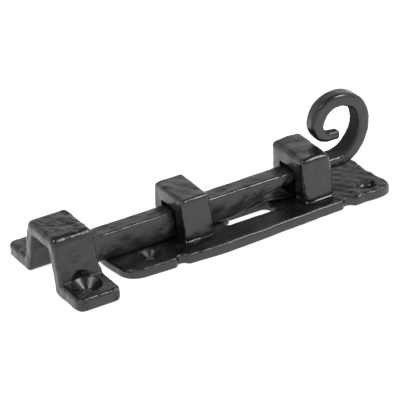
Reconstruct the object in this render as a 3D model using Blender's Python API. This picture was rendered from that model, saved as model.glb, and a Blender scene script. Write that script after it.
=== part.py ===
"""Straight door bolt with a curled handle: a cast plate with two box staples, a square bar forged out
into a scroll, its stop pin and friction spring, and the separate keeper that takes the bar's nose.

+X runs along the bar towards the scroll, the keeper is at -X, +Z is away from the door, and z = 0 is
the face of the door. The origin is on the plate's back, under the middle of the front staple.
"""

import math

import bmesh
import bpy

MM = 0.001

# ---- plate ----
PLATE_LEFT = -39.1 * MM
PLATE_RIGHT = 90.5 * MM
PLATE_HALF_WIDTH = 20.9 * MM
PLATE_THICK = 3.8 * MM
PLATE_SWELL = 2.5 * MM  # how far each long edge bulges between the nicks
PLATE_SWELL_AT = 9.0 * MM
PLATE_SWELL_SPREAD = 30.0 * MM
PLATE_LEFT_CORNER = 9.0 * MM
PLATE_RIGHT_CORNER = 6.0 * MM
PLATE_END_BOW = 0.7 * MM  # how far the middle of the left end stands out
PLATE_END_CUTBACK = 2.4 * MM  # how much shorter the far half of the right end is
PLATE_EDGE_BREAK = 0.6 * MM
NICK_LEFT_INSET = 25.7 * MM  # from the plate's left end
NICK_RIGHT_INSET = 22.5 * MM  # from the plate's right end
NICK_RADIUS = 2.4 * MM

# ---- screw holes in the plate ----
LEFT_HOLES_INSET = 16.2 * MM  # from the plate's left end
LEFT_HOLES_APART = 22.6 * MM
RIGHT_HOLES_INSET = 9.6 * MM  # from the plate's right end
RIGHT_HOLES_APART = 27.4 * MM
PLATE_HOLE_D = 4.0 * MM
PLATE_SINK_D = 8.8 * MM

# ---- bar ----
BAR_WIDTH = 9.5 * MM
BAR_HEIGHT = 11.4 * MM
BAR_NOSE = -59.0 * MM
BAR_BREAK = 0.9 * MM  # broken long edges
NOSE_BREAK = 1.2 * MM
SEAT_GAP = 0.3 * MM  # between pieces that rest on each other
SIDE_GAP = 1.05 * MM  # bar to each side of a staple
TOP_GAP = 1.0 * MM  # bar to the roof of a staple
RELIEF_START = 17.5 * MM  # where the underside leaves the plate
RELIEF_BEFORE_STAPLE = 12.5 * MM  # from the relief's end to the middle of the rear staple
NECK_THICK = 5.3 * MM  # at the end of the relief
NECK_PAST_STAPLE = 11.5 * MM  # from the middle of the rear staple to where the scroll starts
NECK_END_THICK = 4.4 * MM

# ---- staples ----
STAPLE_LENGTH = 13.6 * MM
STAPLE_WALL = 6.2 * MM
STAPLE_ROOF = 6.5 * MM
STAPLE_SPACING = 58.0 * MM
STAPLE_BREAK = 1.3 * MM
REAR_STAPLE_LENGTH = 14.2 * MM
REAR_STAPLE_WALL = 7.2 * MM
REAR_STAPLE_ROOF = 7.4 * MM
REAR_STAPLE_BREAK = 1.9 * MM
STAPLE_MOUTH_BREAK = 0.5 * MM
TENON_D = 5.0 * MM
TENON_GAP = 0.3 * MM

# ---- travel, stop pin and slot ----
TRAVEL = 18.5 * MM
PIN_D = 4.0 * MM
PIN_X = 18.0 * MM  # with the bolt thrown
PIN_SIDE = 1.9 * MM  # towards the near side of the bar's centre line
PIN_PROUD = 3.3 * MM  # how far it reaches into the plate's thickness
PIN_DEEP = 6.0 * MM  # how far it is driven into the bar
PIN_GAP = 0.3 * MM
SLOT_WIDTH = 9.5 * MM
SLOT_CORNER = 3.6 * MM

# ---- friction spring ----
SPRING_WIDTH = 7.6 * MM
SPRING_THICK = 0.8 * MM
SPRING_START = 21.2 * MM
SPRING_FLAT = 6.4 * MM  # flat length before the bow
SPRING_BOW = 20.0 * MM
SPRING_RISE = 1.4 * MM
SPRING_TOE = 2.5 * MM
SPRING_TOE_LIFT = 0.5 * MM
SPRING_GAP = 0.3 * MM
RIVET_D = 2.4 * MM
RIVET_INSET = 3.6 * MM  # from the spring's fixed end
RIVET_DEEP = 3.5 * MM

# ---- keeper ----
KEEPER_X = -57.5 * MM  # middle, with the bolt thrown into it
KEEPER_LENGTH = 18.9 * MM
KEEPER_HEIGHT = 24.8 * MM
KEEPER_TOP_HALF = 11.7 * MM
KEEPER_BASE_HALF = 15.9 * MM  # outer width where the legs meet the feet
KEEPER_FOOT_HALF = 31.8 * MM
KEEPER_FOOT_THICK = 5.8 * MM
KEEPER_ROOF = 5.8 * MM
KEEPER_LEG = 5.8 * MM
KEEPER_BREAK = 1.5 * MM
KEEPER_FOOT_CORNER = 3.4 * MM
KEEPER_HOLE_FROM_END = 10.9 * MM
KEEPER_HOLE_D = 5.0 * MM
KEEPER_SINK_D = 13.2 * MM

# ---- scroll ----
SCROLL_PAST_STAPLE = 18.0 * MM  # from the middle of the rear staple to the scroll's centre
SCROLL_RISE = 14.0 * MM  # of the scroll's centre above the bar's top
SCROLL_WIDTH_END = 6.5 * MM
# degrees from straight down, distance from the scroll's centre, thickness
SCROLL_TURN = (
    (0.0, 16.2 * MM, 5.2 * MM),
    (24.0, 14.1 * MM, 5.5 * MM),
    (56.5, 12.1 * MM, 5.5 * MM),
    (90.5, 11.3 * MM, 5.8 * MM),
    (126.0, 11.7 * MM, 6.1 * MM),
    (160.0, 11.4 * MM, 5.9 * MM),
    (192.0, 11.2 * MM, 6.0 * MM),
    (223.0, 11.1 * MM, 6.5 * MM),
    (257.5, 10.6 * MM, 6.1 * MM),
    (285.0, 9.4 * MM, 5.2 * MM),
    (308.0, 7.5 * MM, 4.5 * MM),
    (329.0, 5.8 * MM, 3.9 * MM),
    (350.0, 5.2 * MM, 3.3 * MM),
)

# ---- derived ----
BAR_UNDER = PLATE_THICK + SEAT_GAP
BAR_TOP = BAR_UNDER + BAR_HEIGHT
BAR_AXIS = BAR_UNDER + BAR_HEIGHT / 2
STAPLE_MOUTH_HALF = BAR_WIDTH / 2 + SIDE_GAP
STAPLE_MOUTH_TOP = BAR_TOP + TOP_GAP
STAPLES_X = (0.0, STAPLE_SPACING)
RELIEF_END = STAPLE_SPACING - RELIEF_BEFORE_STAPLE
NECK_END = STAPLE_SPACING + NECK_PAST_STAPLE
SCROLL_X = STAPLE_SPACING + SCROLL_PAST_STAPLE
SCROLL_Z = BAR_TOP + SCROLL_RISE
TENON_Y = STAPLE_MOUTH_HALF + STAPLE_WALL / 2
SLOT_FAR = -PIN_SIDE + PIN_D / 2 + PIN_GAP
SLOT_NEAR = SLOT_FAR - SLOT_WIDTH
ROUND = 32


def clear_scene():
    for obj in list(bpy.data.objects):
        bpy.data.objects.remove(obj, do_unlink=True)


def paint(name, colour, roughness, metallic):
    mat = bpy.data.materials.new(name)
    mat.use_nodes = True
    shader = mat.node_tree.nodes["Principled BSDF"]
    shader.inputs["Base Color"].default_value = (*colour, 1.0)
    shader.inputs["Roughness"].default_value = roughness
    shader.inputs["Metallic"].default_value = metallic
    mat.diffuse_color = (*colour, 1.0)
    return mat


def add(name, bm, origin=(0.0, 0.0, 0.0), mat=None):
    """A mesh object from a bmesh in world coordinates, with its origin moved to the given point."""
    bmesh.ops.translate(bm, verts=bm.verts, vec=[-c for c in origin])
    bmesh.ops.recalc_face_normals(bm, faces=bm.faces)
    mesh = bpy.data.meshes.new(name)
    bm.to_mesh(mesh)
    bm.free()
    obj = bpy.data.objects.new(name, mesh)
    obj.location = origin
    bpy.context.scene.collection.objects.link(obj)
    if mat is not None:
        mesh.materials.append(mat)
    return obj


def prism(outline, lift):
    """Closed outline (3-D points in one plane) swept along the vector lift."""
    bm = bmesh.new()
    base = bm.faces.new([bm.verts.new(p) for p in outline])
    moved = bmesh.ops.extrude_face_region(bm, geom=[base])
    verts = [v for v in moved["geom"] if isinstance(v, bmesh.types.BMVert)]
    bmesh.ops.translate(bm, verts=verts, vec=lift)
    return bm


def turned(profile, x, y, sides=ROUND):
    """Closed solid of revolution about the vertical through x, y; the profile is (radius, z) pairs."""
    bm = bmesh.new()
    rings = []
    for radius, z in profile:
        ring = []
        for i in range(sides):
            turn = 2 * math.pi * i / sides
            ring.append(bm.verts.new((x + radius * math.cos(turn), y + radius * math.sin(turn), z)))
        rings.append(ring)
    for low, high in zip(rings, rings[1:]):
        for i in range(sides):
            j = (i + 1) % sides
            bm.faces.new((low[i], low[j], high[j], high[i]))
    bm.faces.new(list(reversed(rings[0])))
    bm.faces.new(rings[-1])
    return bm


def loft(rings):
    """Closed solid through rings of equal length, capped at both ends."""
    bm = bmesh.new()
    made = [[bm.verts.new(p) for p in ring] for ring in rings]
    for low, high in zip(made, made[1:]):
        for i in range(len(low)):
            j = (i + 1) % len(low)
            bm.faces.new((low[i], low[j], high[j], high[i]))
    bm.faces.new(list(reversed(made[0])))
    bm.faces.new(made[-1])
    return bm


def box(x0, x1, y0, y1, z0, z1):
    return prism([(x0, y0, z0), (x1, y0, z0), (x1, y1, z0), (x0, y1, z0)], (0, 0, z1 - z0))


def arc(cx, cy, radius, start, end, steps):
    """Points on a circle in the XY plane, angles in degrees, ends included."""
    points = []
    for i in range(steps + 1):
        turn = math.radians(start + (end - start) * i / steps)
        points.append((cx + radius * math.cos(turn), cy + radius * math.sin(turn)))
    return points


def cut(obj, name, bm):
    """Boolean difference by a hidden cutter."""
    cutter = add(name, bm, tuple(obj.matrix_basis.translation))
    cutter.hide_render = True
    cutter.display_type = "WIRE"
    cutter.parent = obj.parent
    if obj.parent is None:
        cutter.location = obj.location
    step = obj.modifiers.new(name, "BOOLEAN")
    step.operation = "DIFFERENCE"
    step.solver = "EXACT"
    step.object = cutter
    return cutter


def break_edges(obj, width, segments=2, angle=35.0):
    step = obj.modifiers.new("broken_edges", "BEVEL")
    step.width = width
    step.segments = segments
    step.limit_method = "ANGLE"
    step.angle_limit = math.radians(angle)
    step.use_clamp_overlap = True
    step.miter_outer = "MITER_SHARP"
    return step


def smooth(obj, angle=40.0):
    obj.data.shade_smooth()
    obj.data.set_sharp_from_angle(angle=math.radians(angle))


def swell(x):
    """Half width of the plate at x."""
    away = (x - PLATE_SWELL_AT) / PLATE_SWELL_SPREAD
    return PLATE_HALF_WIDTH + PLATE_SWELL * math.exp(-away * away)


def near_edge():
    """The plate's near long edge from left to right, with its two half-round nicks."""
    points = []
    start = PLATE_LEFT + PLATE_LEFT_CORNER
    end = PLATE_RIGHT - PLATE_RIGHT_CORNER
    nicks = (PLATE_LEFT + NICK_LEFT_INSET, PLATE_RIGHT - NICK_RIGHT_INSET)
    marks = [start, nicks[0], nicks[1], end]
    for i in range(3):
        low = marks[i] + (NICK_RADIUS if i else 0.0)
        high = marks[i + 1] - (NICK_RADIUS if i < 2 else 0.0)
        steps = 14 if i == 1 else 3
        for k in range(steps + 1):
            x = low + (high - low) * k / steps
            points.append((x, -swell(x)))
        if i < 2:
            inner = arc(marks[i + 1], -swell(marks[i + 1]), NICK_RADIUS, 180.0, 0.0, 8)
            points.extend(inner[1:-1])
    return points


def plate_outline():
    """Whole outline, counter-clockwise from the near left corner."""
    near = near_edge()
    low = -near[0][1]
    high = -near[-1][1]
    round_x = PLATE_RIGHT - PLATE_RIGHT_CORNER
    right = arc(round_x, -high + PLATE_RIGHT_CORNER, PLATE_RIGHT_CORNER, -90, 0, 7)[1:]
    reach = high - PLATE_RIGHT_CORNER
    end = []
    for k in range(1, 10):
        y = -reach + 2 * reach * k / 10
        share = min(1.0, max(0.0, (y + reach) / reach))
        end.append((PLATE_RIGHT - PLATE_END_CUTBACK * share * share * (3 - 2 * share), y))
    far_x = PLATE_RIGHT - PLATE_END_CUTBACK
    far_right = arc(far_x - PLATE_RIGHT_CORNER, high - PLATE_RIGHT_CORNER, PLATE_RIGHT_CORNER, 0, 90, 7)
    far = [(x, -y) for x, y in reversed(near) if x < far_x - PLATE_RIGHT_CORNER - 0.2 * MM]
    cx = PLATE_LEFT + PLATE_LEFT_CORNER
    far_left = arc(cx, low - PLATE_LEFT_CORNER, PLATE_LEFT_CORNER, 90, 180, 8)[1:]
    near_left = arc(cx, -low + PLATE_LEFT_CORNER, PLATE_LEFT_CORNER, 180, 270, 8)[:-1]
    reach = low - PLATE_LEFT_CORNER
    bow = []
    for k in range(1, 8):
        y = reach - 2 * reach * k / 8
        bow.append((PLATE_LEFT - PLATE_END_BOW * (1 - (y / reach) ** 2), y))
    return near + right + end + far_right + far + far_left + bow + near_left


def sink(x, y, hole, mouth, thick):
    """Through hole with a 90 degree countersink from the top face."""
    deep = (mouth - hole) / 2
    over = 1.0 * MM
    return turned(
        (
            (hole / 2, -over),
            (hole / 2, thick - deep),
            (mouth / 2, thick),
            (mouth / 2 + over, thick + over),
        ),
        x,
        y,
    )


def slot_ends():
    """The slot's two ends along X: at each end of its travel the pin lies in the slot's rounded corner."""
    return PIN_X - SLOT_CORNER, PIN_X + TRAVEL + SLOT_CORNER


def slot_outline():
    x0, x1 = slot_ends()
    r = min(SLOT_CORNER, SLOT_WIDTH / 2 - 0.1 * MM)
    points = arc(x1 - r, SLOT_NEAR + r, r, -90, 0, 8)
    points += arc(x1 - r, SLOT_FAR - r, r, 0, 90, 8)
    points += arc(x0 + r, SLOT_FAR - r, r, 90, 180, 8)
    points += arc(x0 + r, SLOT_NEAR + r, r, 180, 270, 8)
    return points


def make_plate(mat):
    outline = [(x, y, 0.0) for x, y in plate_outline()]
    plate = add("backplate", prism(outline, (0, 0, PLATE_THICK)), mat=mat)
    edges = plate.modifiers.new("broken_edges", "BEVEL")
    edges.width = PLATE_EDGE_BREAK
    edges.segments = 2
    edges.limit_method = "ANGLE"
    edges.angle_limit = math.radians(60)
    over = 1.0 * MM
    slot = [(x, y, -over) for x, y in slot_outline()]
    cut(plate, "cut_slot", prism(slot, (0, 0, PLATE_THICK + 2 * over)))
    pairs = (
        (PLATE_LEFT + LEFT_HOLES_INSET, LEFT_HOLES_APART),
        (PLATE_RIGHT - RIGHT_HOLES_INSET, RIGHT_HOLES_APART),
    )
    for i, (x, apart) in enumerate(pairs):
        for j, side in enumerate((-1, 1)):
            y = side * apart / 2
            cut(plate, f"cut_screw_{i}{j}", sink(x, y, PLATE_HOLE_D, PLATE_SINK_D, PLATE_THICK))
    radius = TENON_D / 2 + TENON_GAP
    for i, x in enumerate(STAPLES_X):
        for j, side in enumerate((-1, 1)):
            hole = turned(((radius, -over), (radius, PLATE_THICK + over)), x, side * TENON_Y)
            cut(plate, f"cut_tenon_{i}{j}", hole)
    return plate


def join(obj, name, bm):
    """Boolean union with a hidden helper."""
    helper = add(name, bm, tuple(obj.location))
    helper.hide_render = True
    helper.display_type = "WIRE"
    step = obj.modifiers.new(name, "BOOLEAN")
    step.operation = "UNION"
    step.solver = "EXACT"
    step.object = helper
    return helper


def make_staple(name, x, length, wall, roof, edge, mat):
    """A box staple: two legs and a roof round the bar, with a round tenon under each leg."""
    mouth = STAPLE_MOUTH_HALF
    outer = mouth + wall
    top = STAPLE_MOUTH_TOP + roof
    foot = PLATE_THICK + SEAT_GAP
    outline = (
        (-outer, foot),
        (-mouth, foot),
        (-mouth, STAPLE_MOUTH_TOP),
        (mouth, STAPLE_MOUTH_TOP),
        (mouth, foot),
        (outer, foot),
        (outer, top),
        (-outer, top),
    )
    bm = prism([(x - length / 2, y, z) for y, z in outline], (length, 0, 0))
    weight = bm.edges.layers.float.new("bevel_weight_edge")
    for seam in bm.edges:
        outside = all(abs(v.co.z - top) < 1e-7 or abs(abs(v.co.y) - outer) < 1e-7 for v in seam.verts)
        seam[weight] = 1.0 if outside else min(1.0, STAPLE_MOUTH_BREAK / edge)
    staple = add(name, bm, (x, 0.0, 0.0), mat)
    step = break_edges(staple, edge, 3)
    step.limit_method = "WEIGHT"
    for i, side in enumerate((-1, 1)):
        tenon = turned(((TENON_D / 2, 0.0), (TENON_D / 2, foot + 2.0 * MM)), x, side * TENON_Y, 24)
        join(staple, f"{name}_tenon_{i}", tenon)
    return staple


def section(width, height, edge):
    """Rectangle with rounded corners, as (across, up) pairs, 16 points."""
    w = width / 2 - edge
    h = height / 2 - edge
    points = []
    for cx, cy, start in ((w, h, 0), (-w, h, 90), (-w, -h, 180), (w, -h, 270)):
        points += arc(cx, cy, edge, start, start + 90, 3)
    return points


def ring_at(x, z, lean, width, height, edge):
    """A section set across the XZ path at x, z; lean is the path's slope from +X, in radians."""
    ring = []
    for across, up in section(width, height, edge):
        ring.append((x - up * math.sin(lean), across, z + up * math.cos(lean)))
    return ring


def under(x):
    """Height of the bar's underside at x, from the nose to the end of the neck."""
    neck = BAR_TOP - NECK_THICK
    if x <= RELIEF_START:
        return BAR_UNDER
    if x < RELIEF_END:
        share = (x - RELIEF_START) / (RELIEF_END - RELIEF_START)
        return BAR_UNDER + (neck - BAR_UNDER) * share * share * (3 - 2 * share)
    share = (x - RELIEF_END) / (NECK_END - RELIEF_END)
    return neck + (NECK_THICK - NECK_END_THICK) * share


def spline(knots, values, t):
    """Catmull-Rom value at t on uneven knots."""
    k = 0
    while k < len(knots) - 2 and t > knots[k + 1]:
        k += 1
    t0, t1 = knots[k], knots[k + 1]
    v0, v1 = values[k], values[k + 1]
    low, high = max(0, k - 1), min(len(knots) - 1, k + 2)
    m0 = (v1 - values[low]) / (t1 - knots[low])
    m1 = (values[high] - v0) / (knots[high] - t0)
    s = (t - t0) / (t1 - t0)
    span = t1 - t0
    return (
        v0 * (2 * s**3 - 3 * s**2 + 1)
        + m0 * span * (s**3 - 2 * s**2 + s)
        + v1 * (3 * s**2 - 2 * s**3)
        + m1 * span * (s**3 - s**2)
    )


def scroll_path():
    """Stations from the neck to the scroll's tip: x, z, thickness and width."""
    rows = []
    for x in (RELIEF_END, (RELIEF_END + NECK_END) / 2, NECK_END):
        rows.append((x, (BAR_TOP + under(x)) / 2, BAR_TOP - under(x), BAR_WIDTH))
    for n, (turn, radius, thick) in enumerate(SCROLL_TURN):
        share = n / (len(SCROLL_TURN) - 1)
        ease = share * share * (3 - 2 * share)
        angle = math.radians(turn - 90)
        width = BAR_WIDTH + (SCROLL_WIDTH_END - BAR_WIDTH) * min(1.0, 1.35 * ease)
        rows.append((SCROLL_X + radius * math.cos(angle), SCROLL_Z + radius * math.sin(angle), thick, width))
    return rows


def make_bolt(mat, origin):
    """Bar, neck and scroll as one forging, lofted along its own path."""
    rings = []
    low, high = BAR_NOSE, RELIEF_START
    z = (BAR_TOP + BAR_UNDER) / 2
    slim = 2 * NOSE_BREAK
    rings.append(ring_at(low, z, 0, BAR_WIDTH - slim, BAR_HEIGHT - slim, BAR_BREAK))
    rings.append(ring_at(low + NOSE_BREAK, z, 0, BAR_WIDTH, BAR_HEIGHT, BAR_BREAK))
    for k in range(1, 4):
        x = low + NOSE_BREAK + (high - low - NOSE_BREAK) * k / 3
        rings.append(ring_at(x, z, 0, BAR_WIDTH, BAR_HEIGHT, BAR_BREAK))
    steps = 12
    for k in range(1, steps):
        x = RELIEF_START + (RELIEF_END - RELIEF_START) * k / steps
        floor = under(x)
        rings.append(ring_at(x, (BAR_TOP + floor) / 2, 0, BAR_WIDTH, BAR_TOP - floor, BAR_BREAK))
    rows = scroll_path()
    knots = [0.0]
    for a, b in zip(rows, rows[1:]):
        knots.append(knots[-1] + math.hypot(b[0] - a[0], b[1] - a[1]))
    columns = list(zip(*rows))
    count = 74
    step = 0.05 * MM
    for k in range(count + 1):
        t = knots[-1] * k / count
        x, z, thick, width = (spline(knots, column, t) for column in columns)
        ahead = min(t + step, knots[-1])
        back = ahead - step
        dx = spline(knots, columns[0], ahead) - spline(knots, columns[0], back)
        dz = spline(knots, columns[1], ahead) - spline(knots, columns[1], back)
        share = t / knots[-1]
        edge = BAR_BREAK + (0.42 * thick - BAR_BREAK) * max(0.0, share - 0.15) / 0.85 * 0.75
        lean = 0.0 if k == 0 else math.atan2(dz, dx)
        rings.append(ring_at(x, z, lean, width, thick, edge))
    # a rounded tip: three ever smaller sections a little way on
    x, z, thick, width = rows[-1]
    for on, scale in ((0.9 * MM, 0.82), (1.45 * MM, 0.45)):
        rings.append(
            ring_at(
                x + on * math.cos(lean),
                z + on * math.sin(lean),
                lean,
                width * scale,
                thick * scale,
                0.4 * thick * scale,
            )
        )
    bolt = add("bolt", loft(rings), origin, mat)
    return bolt


def make_pin(mat, origin):
    top = BAR_UNDER + PIN_DEEP
    profile = (
        (PIN_D / 2 - 0.5 * MM, PLATE_THICK - PIN_PROUD),
        (PIN_D / 2, PLATE_THICK - PIN_PROUD + 0.5 * MM),
        (PIN_D / 2, top),
    )
    return add("stop_pin", turned(profile, PIN_X, -PIN_SIDE), origin, mat)


def spring_line():
    """Centre line of the strip, as (x, z of its underside)."""
    rest = BAR_UNDER
    points = [(SPRING_START, rest)]
    bow = SPRING_START + SPRING_FLAT
    steps = 18
    for k in range(steps + 1):
        share = k / steps
        lift = SPRING_RISE * math.sin(math.pi * share) ** 2
        points.append((bow + SPRING_BOW * share, rest + lift))
    toe = bow + SPRING_BOW + SPRING_TOE
    points.append((toe, rest + SPRING_TOE_LIFT))
    return points


def make_spring(mat, origin):
    half = SPRING_WIDTH / 2
    line = spring_line()
    lower = [(x, -half, z) for x, z in line]
    upper = [(x, -half, z + SPRING_THICK) for x, z in reversed(line)]
    spring = add("friction_spring", prism(lower + upper, (0, SPRING_WIDTH, 0)), origin, mat)
    x = SPRING_START + RIVET_INSET
    radius = RIVET_D / 2 + SPRING_GAP
    hole = turned(((radius, BAR_UNDER - 1 * MM), (radius, BAR_UNDER + SPRING_THICK + 1 * MM)), x, 0, 20)
    cut(spring, "cut_rivet_hole", hole)
    return spring


def make_rivet(mat, origin):
    x = SPRING_START + RIVET_INSET
    top = BAR_UNDER + SPRING_THICK + SPRING_GAP + RIVET_DEEP
    return add("spring_rivet", turned(((RIVET_D / 2, BAR_UNDER), (RIVET_D / 2, top)), x, 0, 20), origin, mat)


def make_keeper(mat, origin):
    """A flared staple bent from thick bar, with a countersunk foot each side."""
    half = KEEPER_LENGTH / 2
    roof = KEEPER_HEIGHT - KEEPER_ROOF
    flare = (KEEPER_BASE_HALF - KEEPER_TOP_HALF) / (KEEPER_HEIGHT - KEEPER_FOOT_THICK)
    inner_top = KEEPER_TOP_HALF + flare * KEEPER_ROOF - KEEPER_LEG
    inner_foot = inner_top + flare * roof
    right = [
        (inner_foot, 0.0),
        (KEEPER_FOOT_HALF, 0.0),
        (KEEPER_FOOT_HALF, KEEPER_FOOT_THICK),
        (KEEPER_BASE_HALF, KEEPER_FOOT_THICK),
        (KEEPER_TOP_HALF, KEEPER_HEIGHT),
    ]
    left = [(-y, z) for y, z in reversed(right)]
    inside = [(-inner_top, roof), (inner_top, roof)]
    outline = right + left + inside
    bm = prism([(KEEPER_X - half, y, z) for y, z in outline], (KEEPER_LENGTH, 0, 0))
    corners = []
    for edge in bm.edges:
        a, b = edge.verts
        upright = abs(a.co.x - b.co.x) < 1e-6 and abs(a.co.y - b.co.y) < 1e-6
        if upright and abs(abs(a.co.y) - KEEPER_FOOT_HALF) < 1e-6:
            corners.append(edge)
    bmesh.ops.bevel(bm, geom=corners, offset=KEEPER_FOOT_CORNER, segments=4, profile=0.5, affect="EDGES")
    keeper = add("keeper", bm, origin, mat)
    break_edges(keeper, KEEPER_BREAK, 3, 40)
    for i, side in enumerate((-1, 1)):
        y = side * (KEEPER_FOOT_HALF - KEEPER_HOLE_FROM_END)
        cut(keeper, f"cut_keeper_{i}", keeper_sink(y))
    return keeper


def keeper_sink(y):
    """Screw hole whose wide countersink runs up into the leg, as its cutter went down beside it."""
    deep = (KEEPER_SINK_D - KEEPER_HOLE_D) / 2
    mouth = KEEPER_SINK_D / 2
    return turned(
        (
            (KEEPER_HOLE_D / 2, -1 * MM),
            (KEEPER_HOLE_D / 2, KEEPER_FOOT_THICK - deep),
            (mouth, KEEPER_FOOT_THICK),
            (mouth, KEEPER_FOOT_THICK + 9 * MM),
        ),
        KEEPER_X,
        y,
    )


def empty(name, at):
    obj = bpy.data.objects.new(name, None)
    obj.location = at
    obj.empty_display_size = 0.01
    bpy.context.scene.collection.objects.link(obj)
    return obj


def hang(obj, parent):
    """Parents an object that stands at its parent's point."""
    obj.parent = parent
    obj.location = (0.0, 0.0, 0.0)


def main():
    clear_scene()
    black = paint("black_paint", (0.018, 0.018, 0.019), 0.38, 0.0)
    bar_black = paint("bar_black_paint", (0.02, 0.02, 0.021), 0.34, 0.0)
    staple_black = paint("staple_black_paint", (0.017, 0.017, 0.018), 0.36, 0.0)
    rear_black = paint("rear_staple_black_paint", (0.017, 0.017, 0.018), 0.38, 0.0)
    keeper_black = paint("keeper_black_paint", (0.018, 0.018, 0.019), 0.36, 0.0)
    pin_black = paint("pin_black_paint", (0.022, 0.022, 0.022), 0.4, 0.0)
    steel = paint("spring_steel", (0.05, 0.05, 0.052), 0.4, 0.6)
    rivet_steel = paint("rivet_steel", (0.06, 0.06, 0.06), 0.45, 0.6)

    make_plate(black)
    front = (STAPLE_LENGTH, STAPLE_WALL, STAPLE_ROOF, STAPLE_BREAK)
    rear = (REAR_STAPLE_LENGTH, REAR_STAPLE_WALL, REAR_STAPLE_ROOF, REAR_STAPLE_BREAK)
    make_staple("front_staple", STAPLES_X[0], *front, staple_black)
    make_staple("rear_staple", STAPLES_X[1], *rear, rear_black)

    slide_at = (0.0, 0.0, BAR_AXIS)
    slide = empty("bolt_slide", slide_at)
    bolt = make_bolt(bar_black, slide_at)
    pin_hole = turned(
        (
            (PIN_D / 2 + PIN_GAP, BAR_UNDER - 2 * MM),
            (PIN_D / 2 + PIN_GAP, BAR_UNDER + PIN_DEEP + PIN_GAP),
        ),
        PIN_X,
        -PIN_SIDE,
    )
    pocket_top = BAR_UNDER + SPRING_THICK + SPRING_GAP
    pocket = box(
        SPRING_START - SPRING_GAP,
        RELIEF_END,
        -SPRING_WIDTH / 2 - SPRING_GAP,
        SPRING_WIDTH / 2 + SPRING_GAP,
        BAR_UNDER - 2 * MM,
        pocket_top,
    )
    rivet_x = SPRING_START + RIVET_INSET
    rivet_radius = RIVET_D / 2 + SPRING_GAP
    rivet_top = pocket_top + RIVET_DEEP + SPRING_GAP
    rivet_hole = turned(((rivet_radius, BAR_UNDER), (rivet_radius, rivet_top)), rivet_x, 0, 20)
    cut(bolt, "cut_pin_hole", pin_hole)
    cut(bolt, "cut_spring_pocket", pocket)
    cut(bolt, "cut_rivet_socket", rivet_hole)
    pin = make_pin(pin_black, slide_at)
    spring = make_spring(steel, slide_at)
    rivet = make_rivet(rivet_steel, slide_at)

    keeper_at = (KEEPER_X, 0.0, 0.0)
    seat = empty("keeper_seat", keeper_at)
    keeper = make_keeper(keeper_black, keeper_at)

    for obj in list(bpy.data.objects):
        if obj.type != "MESH":
            continue
        smooth(obj)
        if obj.location[2] != 0.0:
            hang(obj, slide)
        elif abs(obj.location[0] - KEEPER_X) < 1e-9:
            hang(obj, seat)


if __name__ == "__main__":
    main()
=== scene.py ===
"""Fine surfaces and finishes for a black straight door bolt with a scroll handle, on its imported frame.

+X runs along the bar towards the scroll, the keeper is at -X, +Z is away from the door. All lengths
in the functions below are in millimetres, and each piece is turned into metres as its mesh is written.
"""

import math

import bpy
import numpy as np
from mathutils import Matrix, Vector
from mathutils.geometry import delaunay_2d_cdt


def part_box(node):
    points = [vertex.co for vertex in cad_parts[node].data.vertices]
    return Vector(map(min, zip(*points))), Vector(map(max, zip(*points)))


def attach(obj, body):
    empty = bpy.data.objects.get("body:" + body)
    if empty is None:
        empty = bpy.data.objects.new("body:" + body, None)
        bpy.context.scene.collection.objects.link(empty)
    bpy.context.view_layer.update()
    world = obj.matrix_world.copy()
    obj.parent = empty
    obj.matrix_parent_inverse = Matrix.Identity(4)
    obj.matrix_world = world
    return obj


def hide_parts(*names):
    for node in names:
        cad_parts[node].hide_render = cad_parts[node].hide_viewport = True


bl_info = {
    "name": "Black door bolt",
    "version": (1, 0, 0),
    "blender": (4, 5, 0),
    "location": "View3D > Sidebar > Door Bolt",
    "description": "Cast, forged and painted surfaces of a straight door bolt",
    "category": "Object",
}

MM = 0.001
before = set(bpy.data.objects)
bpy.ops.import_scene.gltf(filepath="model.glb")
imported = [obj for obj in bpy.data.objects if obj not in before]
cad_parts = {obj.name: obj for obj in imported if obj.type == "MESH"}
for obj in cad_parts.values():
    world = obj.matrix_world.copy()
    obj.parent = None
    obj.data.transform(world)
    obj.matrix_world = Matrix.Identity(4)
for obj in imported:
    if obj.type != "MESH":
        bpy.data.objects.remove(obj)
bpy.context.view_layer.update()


def node_box(node):
    """Lowest corner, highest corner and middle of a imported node, in millimetres."""
    low, high = (np.array(corner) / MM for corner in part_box(node))
    return low, high, (low + high) / 2


PLATE_LOW, PLATE_HIGH, _ = node_box("backplate")
FRONT_LOW, FRONT_HIGH, FRONT_MIDDLE = node_box("front_staple")
REAR_LOW, REAR_HIGH, REAR_MIDDLE = node_box("rear_staple")
BAR_LOW, _, _ = node_box("bolt")
PIN_LOW, PIN_HIGH, PIN_MIDDLE = node_box("stop_pin")
SPRING_LOW, SPRING_HIGH, _ = node_box("friction_spring")
RIVET_LOW, RIVET_HIGH, RIVET_MIDDLE = node_box("spring_rivet")
KEEPER_LOW, KEEPER_HIGH, KEEPER_MIDDLE = node_box("keeper")


# ---------------------------------------------------------------- settings


def length(name, value_mm, description, low=0.0, high=200.0):
    """A length property, given here in millimetres and kept in metres."""
    return bpy.props.FloatProperty(
        name=name,
        description=description,
        default=float(value_mm) * MM,
        min=low * MM,
        max=high * MM,
        precision=5,
        unit="LENGTH",
    )


def share(name, value, description, high=1.0):
    """A plain number from 0 up to high."""
    return bpy.props.FloatProperty(
        name=name, description=description, default=value, min=0.0, max=high, subtype="FACTOR"
    )


def colour(name, value, description):
    """A colour, its three values linear."""
    return bpy.props.FloatVectorProperty(
        name=name, description=description, default=value, size=3, min=0.0, max=1.0, subtype="COLOR"
    )


def settings(group, name, description):
    """A pointer to one group of settings."""
    return bpy.props.PointerProperty(type=group, name=name, description=description)


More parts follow.
